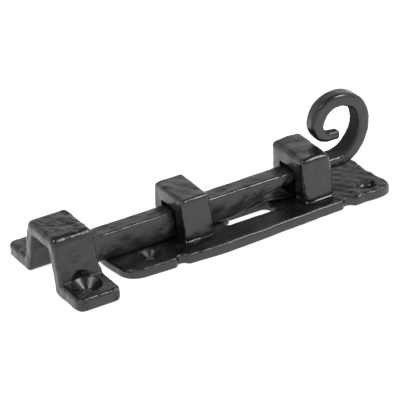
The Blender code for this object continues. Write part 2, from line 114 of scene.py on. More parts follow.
class PlateSizes(bpy.types.PropertyGroup):
    thick: length("Thickness", PLATE_HIGH[2], "Thickness of the cast plate")
    edge: length("Edge break", 1.05, "Radius of the plate's broken top edge")
    swell: length("Swell", 2.5, "How far each long edge bulges between the nicks")
    nick: length("Nick radius", 2.4, "Radius of the half-round nicks in the long edges")
    hole: length("Hole", 3.8, "Diameter of the screw holes")
    sink: length("Countersink", 8.8, "Diameter of the countersinks at the face")
    wander: length("Edge wander", 0.42, "How far the cast outline wanders from its drawn line")
    lump: length("Lumps", 0.11, "Height of the casting's low swells")
    rise: length("Rise", 0.55, "How much higher the face is along the long edges than in the middle")


class StapleSizes(bpy.types.PropertyGroup):
    front_edge: length("Front edge", 1.5, "Edge radius of the crisp front staple")
    rear_edge: length("Rear edge", 2.1, "Edge radius of the rounded rear staple")
    mouth_edge: length("Mouth edge", 0.6, "Edge radius round the mouth of each staple")
    crown: length("Rear crown", 0.45, "How far the rear staple's roof falls towards its two ends")
    draft: length("Draft", 1.0, "Half of how far the near and far faces lean in from foot to top")
    bead: length("Foot bead", 0.4, "How far the rim of metal round each foot stands out")
    lump: length("Lumps", 0.08, "Height of the casting's low swells")


class BarSizes(bpy.types.PropertyGroup):
    edge: length("Edge break", 0.95, "Radius of the bar's broken long edges")
    nose: length("Nose break", 1.2, "Radius of the nose's edge")
    draft: length("Draft", 0.62, "How far each side leans in from its middle to its top")
    lump: length("Forging marks", 0.13, "Height of the hammer marks along the bar")
    tip: length("Scroll tip", 6.5, "Width of the scroll at its tip")


class KeeperSizes(bpy.types.PropertyGroup):
    edge: length("Edge break", 1.6, "Edge radius of the keeper")
    shoulder: length("Shoulder", 3.6, "Radius where a leg turns into the roof")
    foot_spread: length("Foot spread", 0.75, "How much wider than the legs each foot is, on each side")
    foot_corner: length("Foot corner", 3.6, "Corner radius of the feet")
    fillet: length("Foot fillet", 0.7, "Fillet where a leg meets its foot")
    hole: length("Hole", 4.8, "Diameter of the screw holes")
    sink: length("Countersink", 13.2, "Diameter of the countersinks at the foot's face")
    hammer: length("Hammer marks", 0.6, "Depth of the hammer marks on the roof")


class FixingSizes(bpy.types.PropertyGroup):
    pin: length("Pin", PIN_HIGH[0] - PIN_LOW[0], "Diameter of the stop pin")
    strip: length("Strip", 0.8, "Thickness of the spring strip")
    bow: length("Bow", 1.2, "Height of the spring's bow")
    rivet: length("Rivet", RIVET_HIGH[0] - RIVET_LOW[0], "Diameter of the spring's rivet")


class FinishColours(bpy.types.PropertyGroup):
    black: colour("Paint", (0.0068, 0.0068, 0.007), "Black paint")
    rubbed: colour("Rubbed paint", (0.03, 0.03, 0.0305), "Paint rubbed thin along the edges")
    steel: colour("Blackened steel", (0.03, 0.03, 0.03), "Blackened spring steel")
    gloss: share("Roughness", 0.24, "Roughness of the paint where it is whole")
    shine: share("Shine", 0.58, "Strength of the paint's own reflection")
    wear: share("Wear", 0.5, "How far rubbing reaches in from the edges")


class StageLook(bpy.types.PropertyGroup):
    floor: colour("Floor", (0.6, 0.6, 0.6), "Colour of the floor")
    soft: share("Softbox", 1.0, "Strength of the softboxes", 20.0)


class DoorBolt(bpy.types.PropertyGroup):
    plate: settings(PlateSizes, "Plate", "Sizes of the cast plate")
    staple: settings(StapleSizes, "Staples", "Sizes of both staples")
    bar: settings(BarSizes, "Bar", "Sizes of the bar and its scroll")
    keeper: settings(KeeperSizes, "Keeper", "Sizes of the keeper")
    fixing: settings(FixingSizes, "Fixings", "Sizes of the pin, the spring and the rivet")
    finish: settings(FinishColours, "Finish", "Paint and steel")
    stage: settings(StageLook, "Stage", "Floor and lamps")


# ---------------------------------------------------------------- surfaces

# an edge between faces that meet at more than this many degrees stays sharp
SHARP, TURNED_SHARP = 38.0, 50.0


def swells(points, size, seed, octaves=2):
    """A smooth random height at each point, about -1 to 1.

    Each octave adds twelve sine waves of unit height in directions drawn from the seed, divided by the
    square root of twelve; the wave length halves and the height falls by 0.55 with each octave.
    """
    draw = np.random.default_rng(seed)
    total = np.zeros(len(points))
    reach, height = float(size), 1.0
    for _ in range(octaves):
        ways = draw.normal(size=(12, points.shape[1]))
        ways *= 2 * np.pi / reach / np.linalg.norm(ways, axis=1, keepdims=True)
        phases = draw.uniform(0, 2 * np.pi, 12)
        total += height * np.sin(points @ ways.T + phases).sum(1) / math.sqrt(12)
        reach, height = reach / 2, height * 0.55
    return total


def ease(value, low, high):
    """Smooth step: 0 below low, 1 above high, and 3t^2 - 2t^3 between them."""
    t = np.clip((value - low) / (high - low), 0.0, 1.0)
    return t * t * (3 - 2 * t)


def rounded_section(flat, turn):
    """The unit rounded rectangle, as rows of (side across, side up, corner across, corner up).

    With half width w, half height h and corner radius r, a point is
    (side across * (w - r) + corner across * r, side up * (h - r) + corner up * r).
    It starts at the corner between +across and +up and runs counter-clockwise.
    """
    angle = np.linspace(0, np.pi / 2, turn + 1)
    slide = np.linspace(1, -1, flat + 1)[1:-1]
    rows = []
    for k in range(4):
        c, s = np.cos(angle + k * np.pi / 2), np.sin(angle + k * np.pi / 2)
        sx, sy = ((1, 1), (-1, 1), (-1, -1), (1, -1))[k]
        rows.append(np.stack([np.full(turn + 1, sx), np.full(turn + 1, sy), c, s], 1))
        ahead = k * np.pi / 2 + np.pi / 2
        nx, ny = round(math.cos(ahead)), round(math.sin(ahead))
        ways = abs(ny) * (1 if ny > 0 else -1), abs(nx) * (1 if nx < 0 else -1)
        along = np.stack([slide * way for way in ways], 1)
        fixed = np.array([nx, ny], float)
        sides = np.where(np.abs(fixed) > 0.5, fixed, along)
        rows.append(np.concatenate([sides, np.tile(fixed, (len(slide), 1))], 1))
    return np.concatenate(rows, 0)


def grid_faces(rows, columns):
    """Quads of a rows x columns grid whose columns close on themselves, each facing out of a tube."""
    r = np.arange(rows - 1)[:, None]
    c = np.arange(columns)[None, :]
    n = (c + 1) % columns
    low, high = r * columns, (r + 1) * columns
    quads = np.stack([low + c, low + n, high + n, high + c], -1)
    return quads.reshape(-1, 4)


def mesh_piece(name, points, faces, rub=None, sharp=SHARP):
    """A smooth-shaded object at the origin from points in millimetres and a list of faces.

    rub is the share of rubbing at each point, from 0 on a flat to 1 along an edge. Below 0 it is how
    dull the paint is there.
    """
    if rub is None:
        rub = np.zeros(len(points))
    mesh = bpy.data.meshes.new(name)
    mesh.from_pydata((np.asarray(points) * MM).tolist(), [], faces)
    mesh.update()
    layer = mesh.attributes.new("rub", "FLOAT", "POINT")
    layer.data.foreach_set("value", rub.astype(np.float32))
    shade(mesh, sharp)
    piece = bpy.data.objects.new(name, mesh)
    bpy.context.scene.collection.objects.link(piece)
    return piece


def shade(mesh, sharp=SHARP):
    """Smooth shading, with the edges over the angle left sharp."""
    mesh.shade_smooth()
    mesh.set_sharp_from_angle(angle=math.radians(sharp))


def tube(rings):
    """Points and faces of a tube through rings of shape (stations, around, 3), capped at both ends."""
    stations, around, _ = rings.shape
    points = rings.reshape(-1, 3)
    quads = outward_tube(points, grid_faces(stations, around), stations, around)
    return points, quads


def outward_tube(points, quads, stations, around):
    """The tube's quads and its two end caps, turned so that the surface faces out."""
    middle = points.mean(0)
    caps = [np.arange(around)[::-1], np.arange(around) + (stations - 1) * around]
    triangles = [quads[:, [0, 1, 2]], quads[:, [0, 2, 3]]]
    triangles += [np.stack([np.full(around - 2, cap[0]), cap[1:-1], cap[2:]], 1) for cap in caps]
    a, b, c = (points[np.concatenate(triangles)[:, k]] - middle for k in range(3))
    # six times the volume that the surface shuts in, below nothing when it faces in
    if (a * np.cross(b, c)).sum() < 0:
        quads, caps = quads[:, ::-1], [cap[::-1] for cap in caps]
    return quads.tolist() + [cap.tolist() for cap in caps]


def turned(profile, x, y, sides):
    """Rings of a turned solid about the vertical through x, y: each (radius, height) of the profile
    makes the circle (x + radius cos a, y + radius sin a, height)."""
    profile = np.asarray(profile, float)
    a = np.linspace(0, 2 * np.pi, sides, endpoint=False)
    rings = np.empty((len(profile), sides, 3))
    rings[..., 0] = x + profile[:, :1] * np.cos(a)
    rings[..., 1] = y + profile[:, :1] * np.sin(a)
    rings[..., 2] = profile[:, 1:]
    return rings


def bite(piece, *cutters):
    """Cuts closed meshes out of the piece, keeps the result as its mesh, and removes the cutters."""
    for cutter in cutters:
        step = piece.modifiers.new("bite", "BOOLEAN")
        step.operation = "DIFFERENCE"
        step.solver = "EXACT"
        step.object = cutter
    settle(piece)
    for cutter in cutters:
        bpy.data.objects.remove(cutter, do_unlink=True)


def settle(piece):
    """Makes the piece's evaluated mesh its own."""
    bpy.context.view_layer.update()
    graph = bpy.context.evaluated_depsgraph_get()
    mesh = bpy.data.meshes.new_from_object(piece.evaluated_get(graph), depsgraph=graph)
    piece.modifiers.clear()
    piece.data = mesh
    shade(mesh)


def arc_points(cx, cy, radius, start, end, steps):
    """Points on a circle, angles in degrees, both ends included."""
    a = np.radians(np.linspace(start, end, steps + 1))
    return np.stack([cx + radius * np.cos(a), cy + radius * np.sin(a)], 1)


def along_line(a, b, steps):
    """Evenly spaced points from a up to, and without, b."""
    t = np.linspace(0, 1, steps, endpoint=False)[:, None]
    return np.asarray(a, float) * (1 - t) + np.asarray(b, float) * t


def walked(line):
    """Length walked along the line at each of its points, from 0."""
    return np.concatenate([[0], np.cumsum(np.linalg.norm(np.diff(line, axis=0), axis=1))])


def picked(line, walk, at):
    """Points of the line at the walked lengths at."""
    return np.stack([np.interp(at, walk, line[:, k]) for k in range(2)], 1)


def respace(loop, pitch):
    """The closed loop walked at an even pitch: points at equal arc length along its polygon."""
    closed = np.vstack([loop, loop[:1]])
    walk = walked(closed)
    at = np.linspace(0, walk[-1], max(12, int(round(walk[-1] / pitch))), endpoint=False)
    return picked(closed, walk, at)


def mirrored(half, between):
    """A line from near to far: its near half, the rows between, and the half again, mirrored."""
    return np.vstack([half, between, half[::-1] * (-1.0, 1.0)])


def soften(loop, times):
    """A closed loop whose points are moved, times over, to half of themselves and a quarter of each
    neighbour."""
    for _ in range(times):
        loop = 0.25 * np.roll(loop, 1, 0) + 0.5 * loop + 0.25 * np.roll(loop, -1, 0)
    return loop


def loop_normals(loop):
    """Unit vectors out of a counter-clockwise loop, from the chord between each point's neighbours."""
    chord = np.roll(loop, -1, 0) - np.roll(loop, 1, 0)
    out = np.stack([chord[:, 1], -chord[:, 0]], 1)
    return out / np.linalg.norm(out, axis=1, keepdims=True)


def inside(points, loop):
    """True where a point lies inside the loop, by the number of edges that a ray to +X crosses."""
    a, b = loop, np.roll(loop, -1, 0)
    px, py = points[:, :1], points[:, 1:]
    spans = (a[:, 1] > py) != (b[:, 1] > py)
    rise = np.where(b[:, 1] == a[:, 1], 1e-12, b[:, 1] - a[:, 1])
    return (spans & (px < a[:, 0] + (py - a[:, 1]) * (b[:, 0] - a[:, 0]) / rise)).sum(1) % 2 == 1


def nearest(points, loop):
    """Distance from each point to the closest of the loop's points."""
    gap = points[:, None, :] - loop[None, :, :]
    return np.sqrt((gap * gap).sum(-1)).min(1)


# ---------------------------------------------------------------- plate

SLOT_X = (14.4, 40.1)
SLOT_Y = (-9.1, 0.4)
SLOT_CORNER = 3.6
TENON_RADIUS = 2.8
TENON_Y = 8.9
NICKS_FROM_ENDS = (25.7, 22.5)
# distance from the plate's end, distance from its middle line
LEFT_HOLES = (16.2, 11.3)
RIGHT_HOLES = (9.6, 13.7)
LEFT_CORNER = 9.0
RIGHT_CORNER = 6.0
# how far the left end bows out, and how far back the right end's far half stands
LEFT_BOW = 0.7
RIGHT_STEP = 1.7
# radius of the slot's broken edge, and how far in and down the lip of a countersink goes
SLOT_EDGE = 0.35
SINK_LIP = (0.3, 0.14)
# the face's own triangles: their size, and how near they come to a loop
PLATE_PITCH = 0.75
PLATE_GAP = 0.42
# where the rough right end begins and where it is at its roughest
ROUGH_END = (62.0, 71.0)


def half_width(x, sizes):
    """Half width of the plate at x: a bell-shaped swell added to the straight sides."""
    widest = PLATE_HIGH[1]
    swell = sizes.swell / MM
    return widest - swell + swell * np.exp(-(((x - 9.0) / 30.0) ** 2))


def plate_outline(sizes):
    """The plate's outline, counter-clockwise: straight and swelled sides, round corners, a bowed left
    end, a stepped right end and a half-round nick in each long side near each end."""
    left, right = PLATE_LOW[0] + LEFT_BOW, PLATE_HIGH[0]
    nick = sizes.nick / MM
    marks = (left + NICKS_FROM_ENDS[0], right - NICKS_FROM_ENDS[1])
    x = np.arange(left + LEFT_CORNER, right - RIGHT_CORNER, 0.25)
    y = -half_width(x, sizes)
    dip = np.zeros_like(x)
    for mark in marks:
        dip = np.maximum(dip, np.sqrt(np.clip(nick**2 - (x - mark) ** 2, 0, None)))
    near = np.stack([x, y + dip], 1)
    low, high = -y[0], -y[-1]
    far = np.stack([x, -y - dip], 1)[::-1]
    reach = high - RIGHT_CORNER
    ey = np.linspace(-reach, reach, 60)
    ex = right - RIGHT_STEP * ease(ey, -reach, 0.0) + 0.25 * np.sin(ey * 0.9)
    back = right - RIGHT_CORNER - RIGHT_STEP
    far = far[far[:, 0] < back - 0.1]
    right_end = [
        arc_points(right - RIGHT_CORNER, -reach, RIGHT_CORNER, -90, 0, 14),
        np.stack([ex, ey], 1),
        arc_points(back, reach, RIGHT_CORNER, 0, 90, 14),
    ]
    reach = low - LEFT_CORNER
    by = np.linspace(reach, -reach, 40)[1:-1]
    left_end = [
        arc_points(left + LEFT_CORNER, reach, LEFT_CORNER, 90, 180, 18),
        np.stack([left - LEFT_BOW * (1 - (by / reach) ** 2), by], 1),
        arc_points(left + LEFT_CORNER, -reach, LEFT_CORNER, 180, 270, 18),
    ]
    loop = soften(respace(np.vstack([near, *right_end, far, *left_end]), 0.45), 6)
    weight = 0.35 + 0.65 * ease(loop[:, 0], 25.0, 75.0)
    moved = sizes.wander / MM * weight * (swells(loop, 21.0, 11, 3) - 0.6)
    loop = loop + loop_normals(loop) * moved[:, None] * 0.6
    # a small chip at the end, just on the far side of the middle
    chip = np.exp(-(((loop[:, 1] - 1.5) / 1.3) ** 2)) * (loop[:, 0] > right - 6)
    loop[:, 0] -= 0.55 * chip
    return respace(loop, 0.5)


def slot_loop():
    """The slot's outline, counter-clockwise."""
    r = SLOT_CORNER
    (x0, x1), (y0, y1) = ((low + r, high - r) for low, high in (SLOT_X, SLOT_Y))
    centres = (x1, y0), (x1, y1), (x0, y1), (x0, y0)
    corners = [arc_points(x, y, r, 90 * k - 90, 90 * k, 12) for k, (x, y) in enumerate(centres)]
    return respace(np.vstack(corners), 0.5)


def plate_height(xy, sizes):
    """Height of the cast face above its nominal level at each point.

    There are low swells everywhere and a slow rise towards the long edges. Beyond the rear staple there
    are creases of uneven depth (one minus the size of a slow random wave, cubed, so that it peaks in
    thin lines) over smaller lumps, growing towards the end. A shallow dish lies beside the right-hand
    near screw hole.
    """
    height = 0.6 * sizes.lump / MM * swells(xy, 16.0, 3, 3)
    height += sizes.rise / MM * (np.clip(np.abs(xy[:, 1]) - 10.0, 0, None) / 11.0) ** 2
    rough = ease(xy[:, 0], *ROUGH_END)
    crease = np.clip(1.0 - np.abs(swells(xy, 8.0, 5, 3)), 0, 1) ** 3
    strong = 0.5 + 0.5 * np.clip(swells(xy, 11.0, 6, 2), -1, 1)
    height += rough * (0.1 * strong * (crease - 0.4) + 0.11 * swells(xy, 4.2, 8, 3))
    dish = ((xy[:, 0] - 70.8) / 4.4) ** 2 + ((xy[:, 1] + 12.2) / 4.8) ** 2
    return height - 0.25 * np.exp(-(dish**2) * 0.8)


def rim(loop, facing, profile, face_height, thick):
    """The profile carried round a loop: each of its (out, up) pairs stands out along the loop's normal,
    and takes on the face's unevenness by the square of its share of the height."""
    out = np.array([p[0] for p in profile])
    up = np.array([p[1] for p in profile])
    points = np.empty((len(loop), len(profile), 3))
    points[..., :2] = loop[:, None, :] + facing[:, None, :] * out[None, :, None]
    points[..., 2] = up + face_height[:, None] * np.clip(up / thick, 0, 1) ** 2
    return points


def round_over(radius, steps, thick):
    """(out, up) pairs of a quarter round from the flat, which they leave out, to the wall."""
    a = np.linspace(0, np.pi / 2, steps + 1)[1:]
    return [(radius * math.sin(t), thick - radius * (1 - math.cos(t))) for t in a]


def plate_profile(kind, thick, edge, hole, sink):
    """(out, up) pairs down the wall of one kind of loop, and how far each is rubbed."""
    if kind == "edge":
        profile = round_over(edge, 5, thick)
        profile += [(edge, thick * f) for f in (0.6, 0.35)]
        profile += [(edge, 0.3), (edge - 0.1, 0.08), (edge - 0.3, 0.0)]
        worn = [0.5, 0.9, 1.0, 0.8, 0.35]
    elif kind == "slot":
        profile = round_over(SLOT_EDGE, 3, thick)
        profile += [(0.5, thick * 0.5), (0.75, 0.3), (0.7, 0.0)]
        worn = [0.4, 0.5, 0.3]
    elif kind == "tenon":
        profile, worn = [(0.0, thick * 0.5)], []
    else:
        # a sink falls evenly to the hole; a bore stands steep and turns in to the hole at its foot
        inward = sink - hole
        fall = 0.72 * inward if kind == "sink" else thick - 1.3
        steps = np.linspace(0.2, 1.0, 7)
        drops = steps if kind == "sink" else np.sin(steps * np.pi / 2) ** 0.5
        lip, dip = SINK_LIP
        profile = [(0.12, thick - 0.03), (lip, thick - dip)]
        profile += [(lip + inward * f, thick - dip - (fall - dip) * g) for f, g in zip(steps, drops)]
        profile += [(lip + inward, 0.4), (lip + inward, 0.0)]
        worn = [0.8, 0.6]
    return profile, worn + [0.0] * (len(profile) - len(worn))


def build_plate(sizes):
    """The plate: two faces triangulated between the same loops, joined round each loop by a rim."""
    thick, edge = sizes.thick / MM, sizes.edge / MM
    hole, sink = sizes.hole / MM / 2, sizes.sink / MM / 2
    outline = plate_outline(sizes)
    inner = outline - loop_normals(outline) * edge
    left, right = PLATE_LOW[0] + LEFT_BOW, PLATE_HIGH[0]
    # each loop goes with the way its wall stands out, and its kind
    loops = [(inner, 1.0, "edge")]
    sinks, bores = LEFT_HOLES, RIGHT_HOLES
    for x, y, kind in ((left + sinks[0], sinks[1], "sink"), (right - bores[0], bores[1], "bore")):
        for side in (-1, 1):
            loops.append((arc_points(x, side * y, sink + SINK_LIP[0], 0, 360, 72)[:-1], -1.0, kind))
    slot = slot_loop()
    loops.append((slot + loop_normals(slot) * SLOT_EDGE, -1.0, "slot"))
    for x in (FRONT_MIDDLE[0], REAR_MIDDLE[0]):
        for side in (-1, 1):
            loops.append((arc_points(x, side * TENON_Y, TENON_RADIUS, 0, 360, 40)[:-1], -1.0, "tenon"))

    def on_face(points):
        """True inside the outline and outside every opening."""
        keep = inside(points, inner)
        for loop, _, _ in loops[1:]:
            keep &= ~inside(points, loop)
        return keep

    pitch = PLATE_PITCH
    gx, gy = np.meshgrid(np.arange(left - 2, right + 2, pitch), np.arange(-24, 24, pitch * 0.87))
    gx = gx + (np.arange(len(gx)) % 2)[:, None] * pitch / 2
    inner_points = np.stack([gx.ravel(), gy.ravel()], 1)
    inner_points = inner_points[on_face(inner_points)]
    for loop, _, _ in loops:
        inner_points = inner_points[nearest(inner_points, loop) > PLATE_GAP]
    rim_points = np.vstack([loop for loop, _, _ in loops])
    flat = np.vstack([rim_points, inner_points])
    edges, start = [], 0
    for loop, _, _ in loops:
        index = np.arange(len(loop)) + start
        edges += np.stack([index, np.roll(index, -1)], 1).tolist()
        start += len(loop)
    flat = [Vector(p) for p in flat.tolist()]
    made, _, faces, origin, _, _ = delaunay_2d_cdt(flat, edges, [], 0, 1e-6)
    made = np.array([tuple(p) for p in made])
    place = np.empty(len(flat), int)
    found = np.repeat(np.arange(len(origin)), [len(old) for old in origin])
    place[np.concatenate([np.array(old, int) for old in origin])] = found
    faces = np.array([list(f) for f in faces])
    faces = faces[on_face(made[faces].mean(1))]
    a, b, c = (made[faces[:, k]] for k in range(3))
    turn = (b[:, 0] - a[:, 0]) * (c[:, 1] - a[:, 1]) - (b[:, 1] - a[:, 1]) * (c[:, 0] - a[:, 0])
    faces[turn < 0] = faces[turn < 0][:, ::-1]

    count = len(made)
    face_height = plate_height(made, sizes)
    top = np.column_stack([made, thick + face_height])
    bottom = np.column_stack([made, np.zeros(count)])
    dull = -0.22 * ease(made[:, 0], *ROUGH_END)
    points, rub = [top, bottom], [dull, np.zeros(count)]
    polygons = faces.tolist() + (faces[:, ::-1] + count).tolist()
    total, start = 2 * count, 0
    for loop, way, kind in loops:
        n = len(loop)
        index = place[np.arange(n) + start]
        start += n
        facing = loop_normals(loop) * way
        profile, worn = plate_profile(kind, thick, edge, hole, sink)
        wall = rim(loop, facing, profile, face_height[index], thick)
        steps = len(profile)
        points.append(wall.reshape(-1, 3))
        rub.append(np.tile(np.array(worn), n))
        ids = total + np.arange(n * steps).reshape(n, steps)
        total += n * steps
        ladder = np.column_stack([index, ids, index + count])
        after = np.roll(ladder, -1, 0)
        quads = np.stack([ladder[:, :-1], ladder[:, 1:], after[:, 1:], after[:, :-1]], -1)
        quads = quads.reshape(-1, 4)
        polygons += (quads if way > 0 else quads[:, ::-1]).tolist()
    return mesh_piece("plate_cast", np.vstack(points), polygons, np.concatenate(rub))


# ---------------------------------------------------------------- arches

STAPLE_MOUTH = 5.8
STAPLE_MOUTH_TOP = 16.5
STAPLE_MOUTH_CORNER = 0.6
STAPLE_FOOT = 4.1
# twice the share of a staple's height at which its leaning faces keep their drawn place
DRAFT_PIVOT = 1.7


def ruled_arch(inner, outer, half, round_in, round_out, flat, turn):
    """A bar bent over an opening, from its near foot to its far one.

    inner and outer are matching points (y, z) along the two sides of the bar as seen from its end, and
    half is its half length in X. At each station the section runs along the outer side at X from -half
    to half, turns through a quarter round of radius round_out set along the outer normal, crosses to
    the inner side in a straight line, and comes back along it through rounds of radius round_in.
    """
    n = len(inner)
    given = half, round_in, round_out
    half, round_in, round_out = (np.broadcast_to(v, n).astype(float) for v in given)

    def out_of(side, sign):
        """Unit normals of a side, from the chord between each point's neighbours."""
        step = np.gradient(side, axis=0)
        step /= np.maximum(np.linalg.norm(step, axis=1, keepdims=True), 1e-9)
        return np.stack([-step[:, 1], step[:, 0]], 1) * sign

    out_normal, in_normal = out_of(outer, 1.0), out_of(inner, -1.0)
    a = np.linspace(0, np.pi / 2, turn + 1)
    # each column is its points (y, z), its x and how far it is rubbed
    columns = []

    def level(side, radius, ends):
        """Columns along a side, between its two rounds."""
        for t in np.linspace(*ends, flat + 1)[1:-1]:
            columns.append((side, t * (half - radius), 0.0))

    def quarter(side, normal, radius, end, angles, most):
        """Columns through the round between a side (angle 0) and the flat end at X = end * half."""
        for angle in angles:
            drop = radius * (1 - math.cos(angle))
            x = end * (half - radius + radius * math.sin(angle))
            columns.append((side - normal * drop[:, None], x, most * math.sin(2 * angle)))

    def crossing(end, ends):
        """Columns over the flat end, from the outer round to the inner one or back."""
        for t in np.linspace(*ends, 6)[1:-1]:
            columns.append((top_edge * (1 - t) + low_edge * t, end * half, 0.0))

    top_edge = outer - out_normal * round_out[:, None]
    low_edge = inner - in_normal * round_in[:, None]
    level(outer, round_out, (-1, 1))
    quarter(outer, out_normal, round_out, 1, a, 1.0)
    crossing(1, (0, 1))
    quarter(inner, in_normal, round_in, 1, a[::-1], 0.5)
    level(inner, round_in, (1, -1))
    quarter(inner, in_normal, round_in, -1, a, 0.5)
    crossing(-1, (1, 0))
    quarter(outer, out_normal, round_out, -1, a[::-1], 1.0)
    rings = np.empty((n, len(columns), 3))
    for k, (base, x, _) in enumerate(columns):
        rings[:, k, 0] = x
        rings[:, k, 1:] = base
    return rings, np.tile(np.array([worn for _, _, worn in columns]), (n, 1))


def staple_sides(mouth, wall, mouth_top, top, foot, radius):
    """Matching inner and outer points of a box staple: up a leg, round a corner, over and down.

    At a corner the inner side turns through a small round while the outer side runs up past the mouth's
    top, round its own corner and back over the leg.
    """
    outer = mouth + wall
    small = STAPLE_MOUTH_CORNER
    leg, roof, corner = 26, 20, 22
    z = np.linspace(foot, mouth_top - small, leg, endpoint=False)
    inner_leg = np.stack([np.full(leg, -mouth), z], 1)
    outer_leg = np.stack([np.full(leg, -outer), z], 1)
    inner_corner = arc_points(-mouth + small, mouth_top - small, small, 180, 90, corner)
    path = np.vstack(
        [
            along_line((-outer, mouth_top - small), (-outer, top - radius), 12),
            arc_points(-outer + radius, top - radius, radius, 180, 90, 10),
            along_line((-outer + radius, top), (-mouth + small, top), 12)[1:],
            [(-mouth + small, top)],
        ]
    )
    walk = walked(path)
    # the arc keeps its own share of stations, so the corner stays round
    at = np.interp(np.linspace(0, 1, corner + 1), np.linspace(0, 1, len(walk)), walk)
    y = -mouth + small + 2 * (mouth - small) * np.linspace(0, 1, roof + 2)[1:-1]
    inner_roof = np.stack([y, np.full(roof, mouth_top)], 1)
    outer_roof = np.stack([y, np.full(roof, top)], 1)
    inner = mirrored(np.vstack([inner_leg, inner_corner]), inner_roof)
    outer = mirrored(np.vstack([outer_leg, picked(path, walk, at)]), outer_roof)
    return inner, outer


def build_staple(name, low, high, edge, crown, seed, sizes):
    """A box staple: a ruled arch with softly uneven faces, a bead round each foot, and two tenons."""
    mouth, mouth_top, foot = STAPLE_MOUTH, STAPLE_MOUTH_TOP, STAPLE_FOOT
    middle = (low[0] + high[0]) / 2
    size = np.array([(high[0] - low[0]) / 2, (high[1] - mouth) / 2])
    wall, top = high[1] - mouth, high[2]
    inner, outer = staple_sides(mouth, wall, mouth_top, top, foot, max(edge, 0.9))
    rings, rub = ruled_arch(inner, outer, size[0], sizes.mouth_edge / MM, edge, 14, 5)
    flat = rings.reshape(-1, 3)
    flat[:, 0] += middle
    # the foot: a groove just above the plate and a bead of paint below it
    bead = sizes.bead / MM
    over = flat[:, 2] - foot
    patchy = 0.5 + 0.5 * np.clip(1.4 * swells(flat, 13.0, seed + 2, 2), -1, 1)
    swell = bead * patchy * np.exp(-(((over - 0.3) / 0.28) ** 2))
    swell = swell - 0.5 * np.exp(-(((over - 1.0) / 0.35) ** 2))
    centre_y = np.sign(flat[:, 1]) * (mouth + wall / 2)
    reach = np.stack([flat[:, 0] - middle, flat[:, 1] - centre_y], 1)
    away = np.clip(np.abs(reach) / size, 0, 1) ** 6 * np.sign(reach)
    flat[:, :2] += away * swell[:, None]
    outer_part = np.clip((np.abs(flat[:, 1]) - mouth) / wall, 0, 1)
    lean = 2 * (flat[:, 2] - foot) / (top - foot) - DRAFT_PIVOT
    flat[:, 1] -= np.sign(flat[:, 1]) * outer_part * sizes.draft / MM * lean
    # soft unevenness along the direction away from the middle of the bar's section
    lump = sizes.lump / MM * swells(flat, 9.0, seed, 3)
    push = np.clip(np.stack([(flat[:, 0] - middle) / size[0], flat[:, 1] / high[1]], 1), -1, 1)
    flat[:, :2] += push**5 * lump[:, None]
    roof = ease(flat[:, 2], mouth_top + 1.0, top - 1.0)
    flat[:, 2] += roof * (lump - crown * np.abs((flat[:, 0] - middle) / size[0]) ** 2.5)
    points, faces = tube(flat.reshape(rings.shape))
    rub = rub.reshape(-1)
    peg = [(0.05, 0.15), (2.2, 0.15), (2.5, 0.35), (2.5, foot + 1.5), (0.05, foot + 1.5)]
    for side in (-1, 1):
        tenon, tenon_faces = tube(turned(peg, middle, side * TENON_Y, 40))
        faces += [[i + len(points) for i in f] for f in tenon_faces]
        points = np.vstack([points, tenon])
        rub = np.concatenate([rub, np.zeros(len(tenon))])
    return mesh_piece(name, points, faces, rub)


# ---------------------------------------------------------------- keeper

# height of the feet, thickness of the legs, thickness of the roof: all the same bar
KEEPER_BAR = 5.8
# half widths across the legs at the roof and where they meet the feet
KEEPER_ROOF_HALF, KEEPER_BASE_HALF = 11.7, 15.9
KEEPER_HOLE_FROM_END = 10.9
HAMMER_MARKS = 22


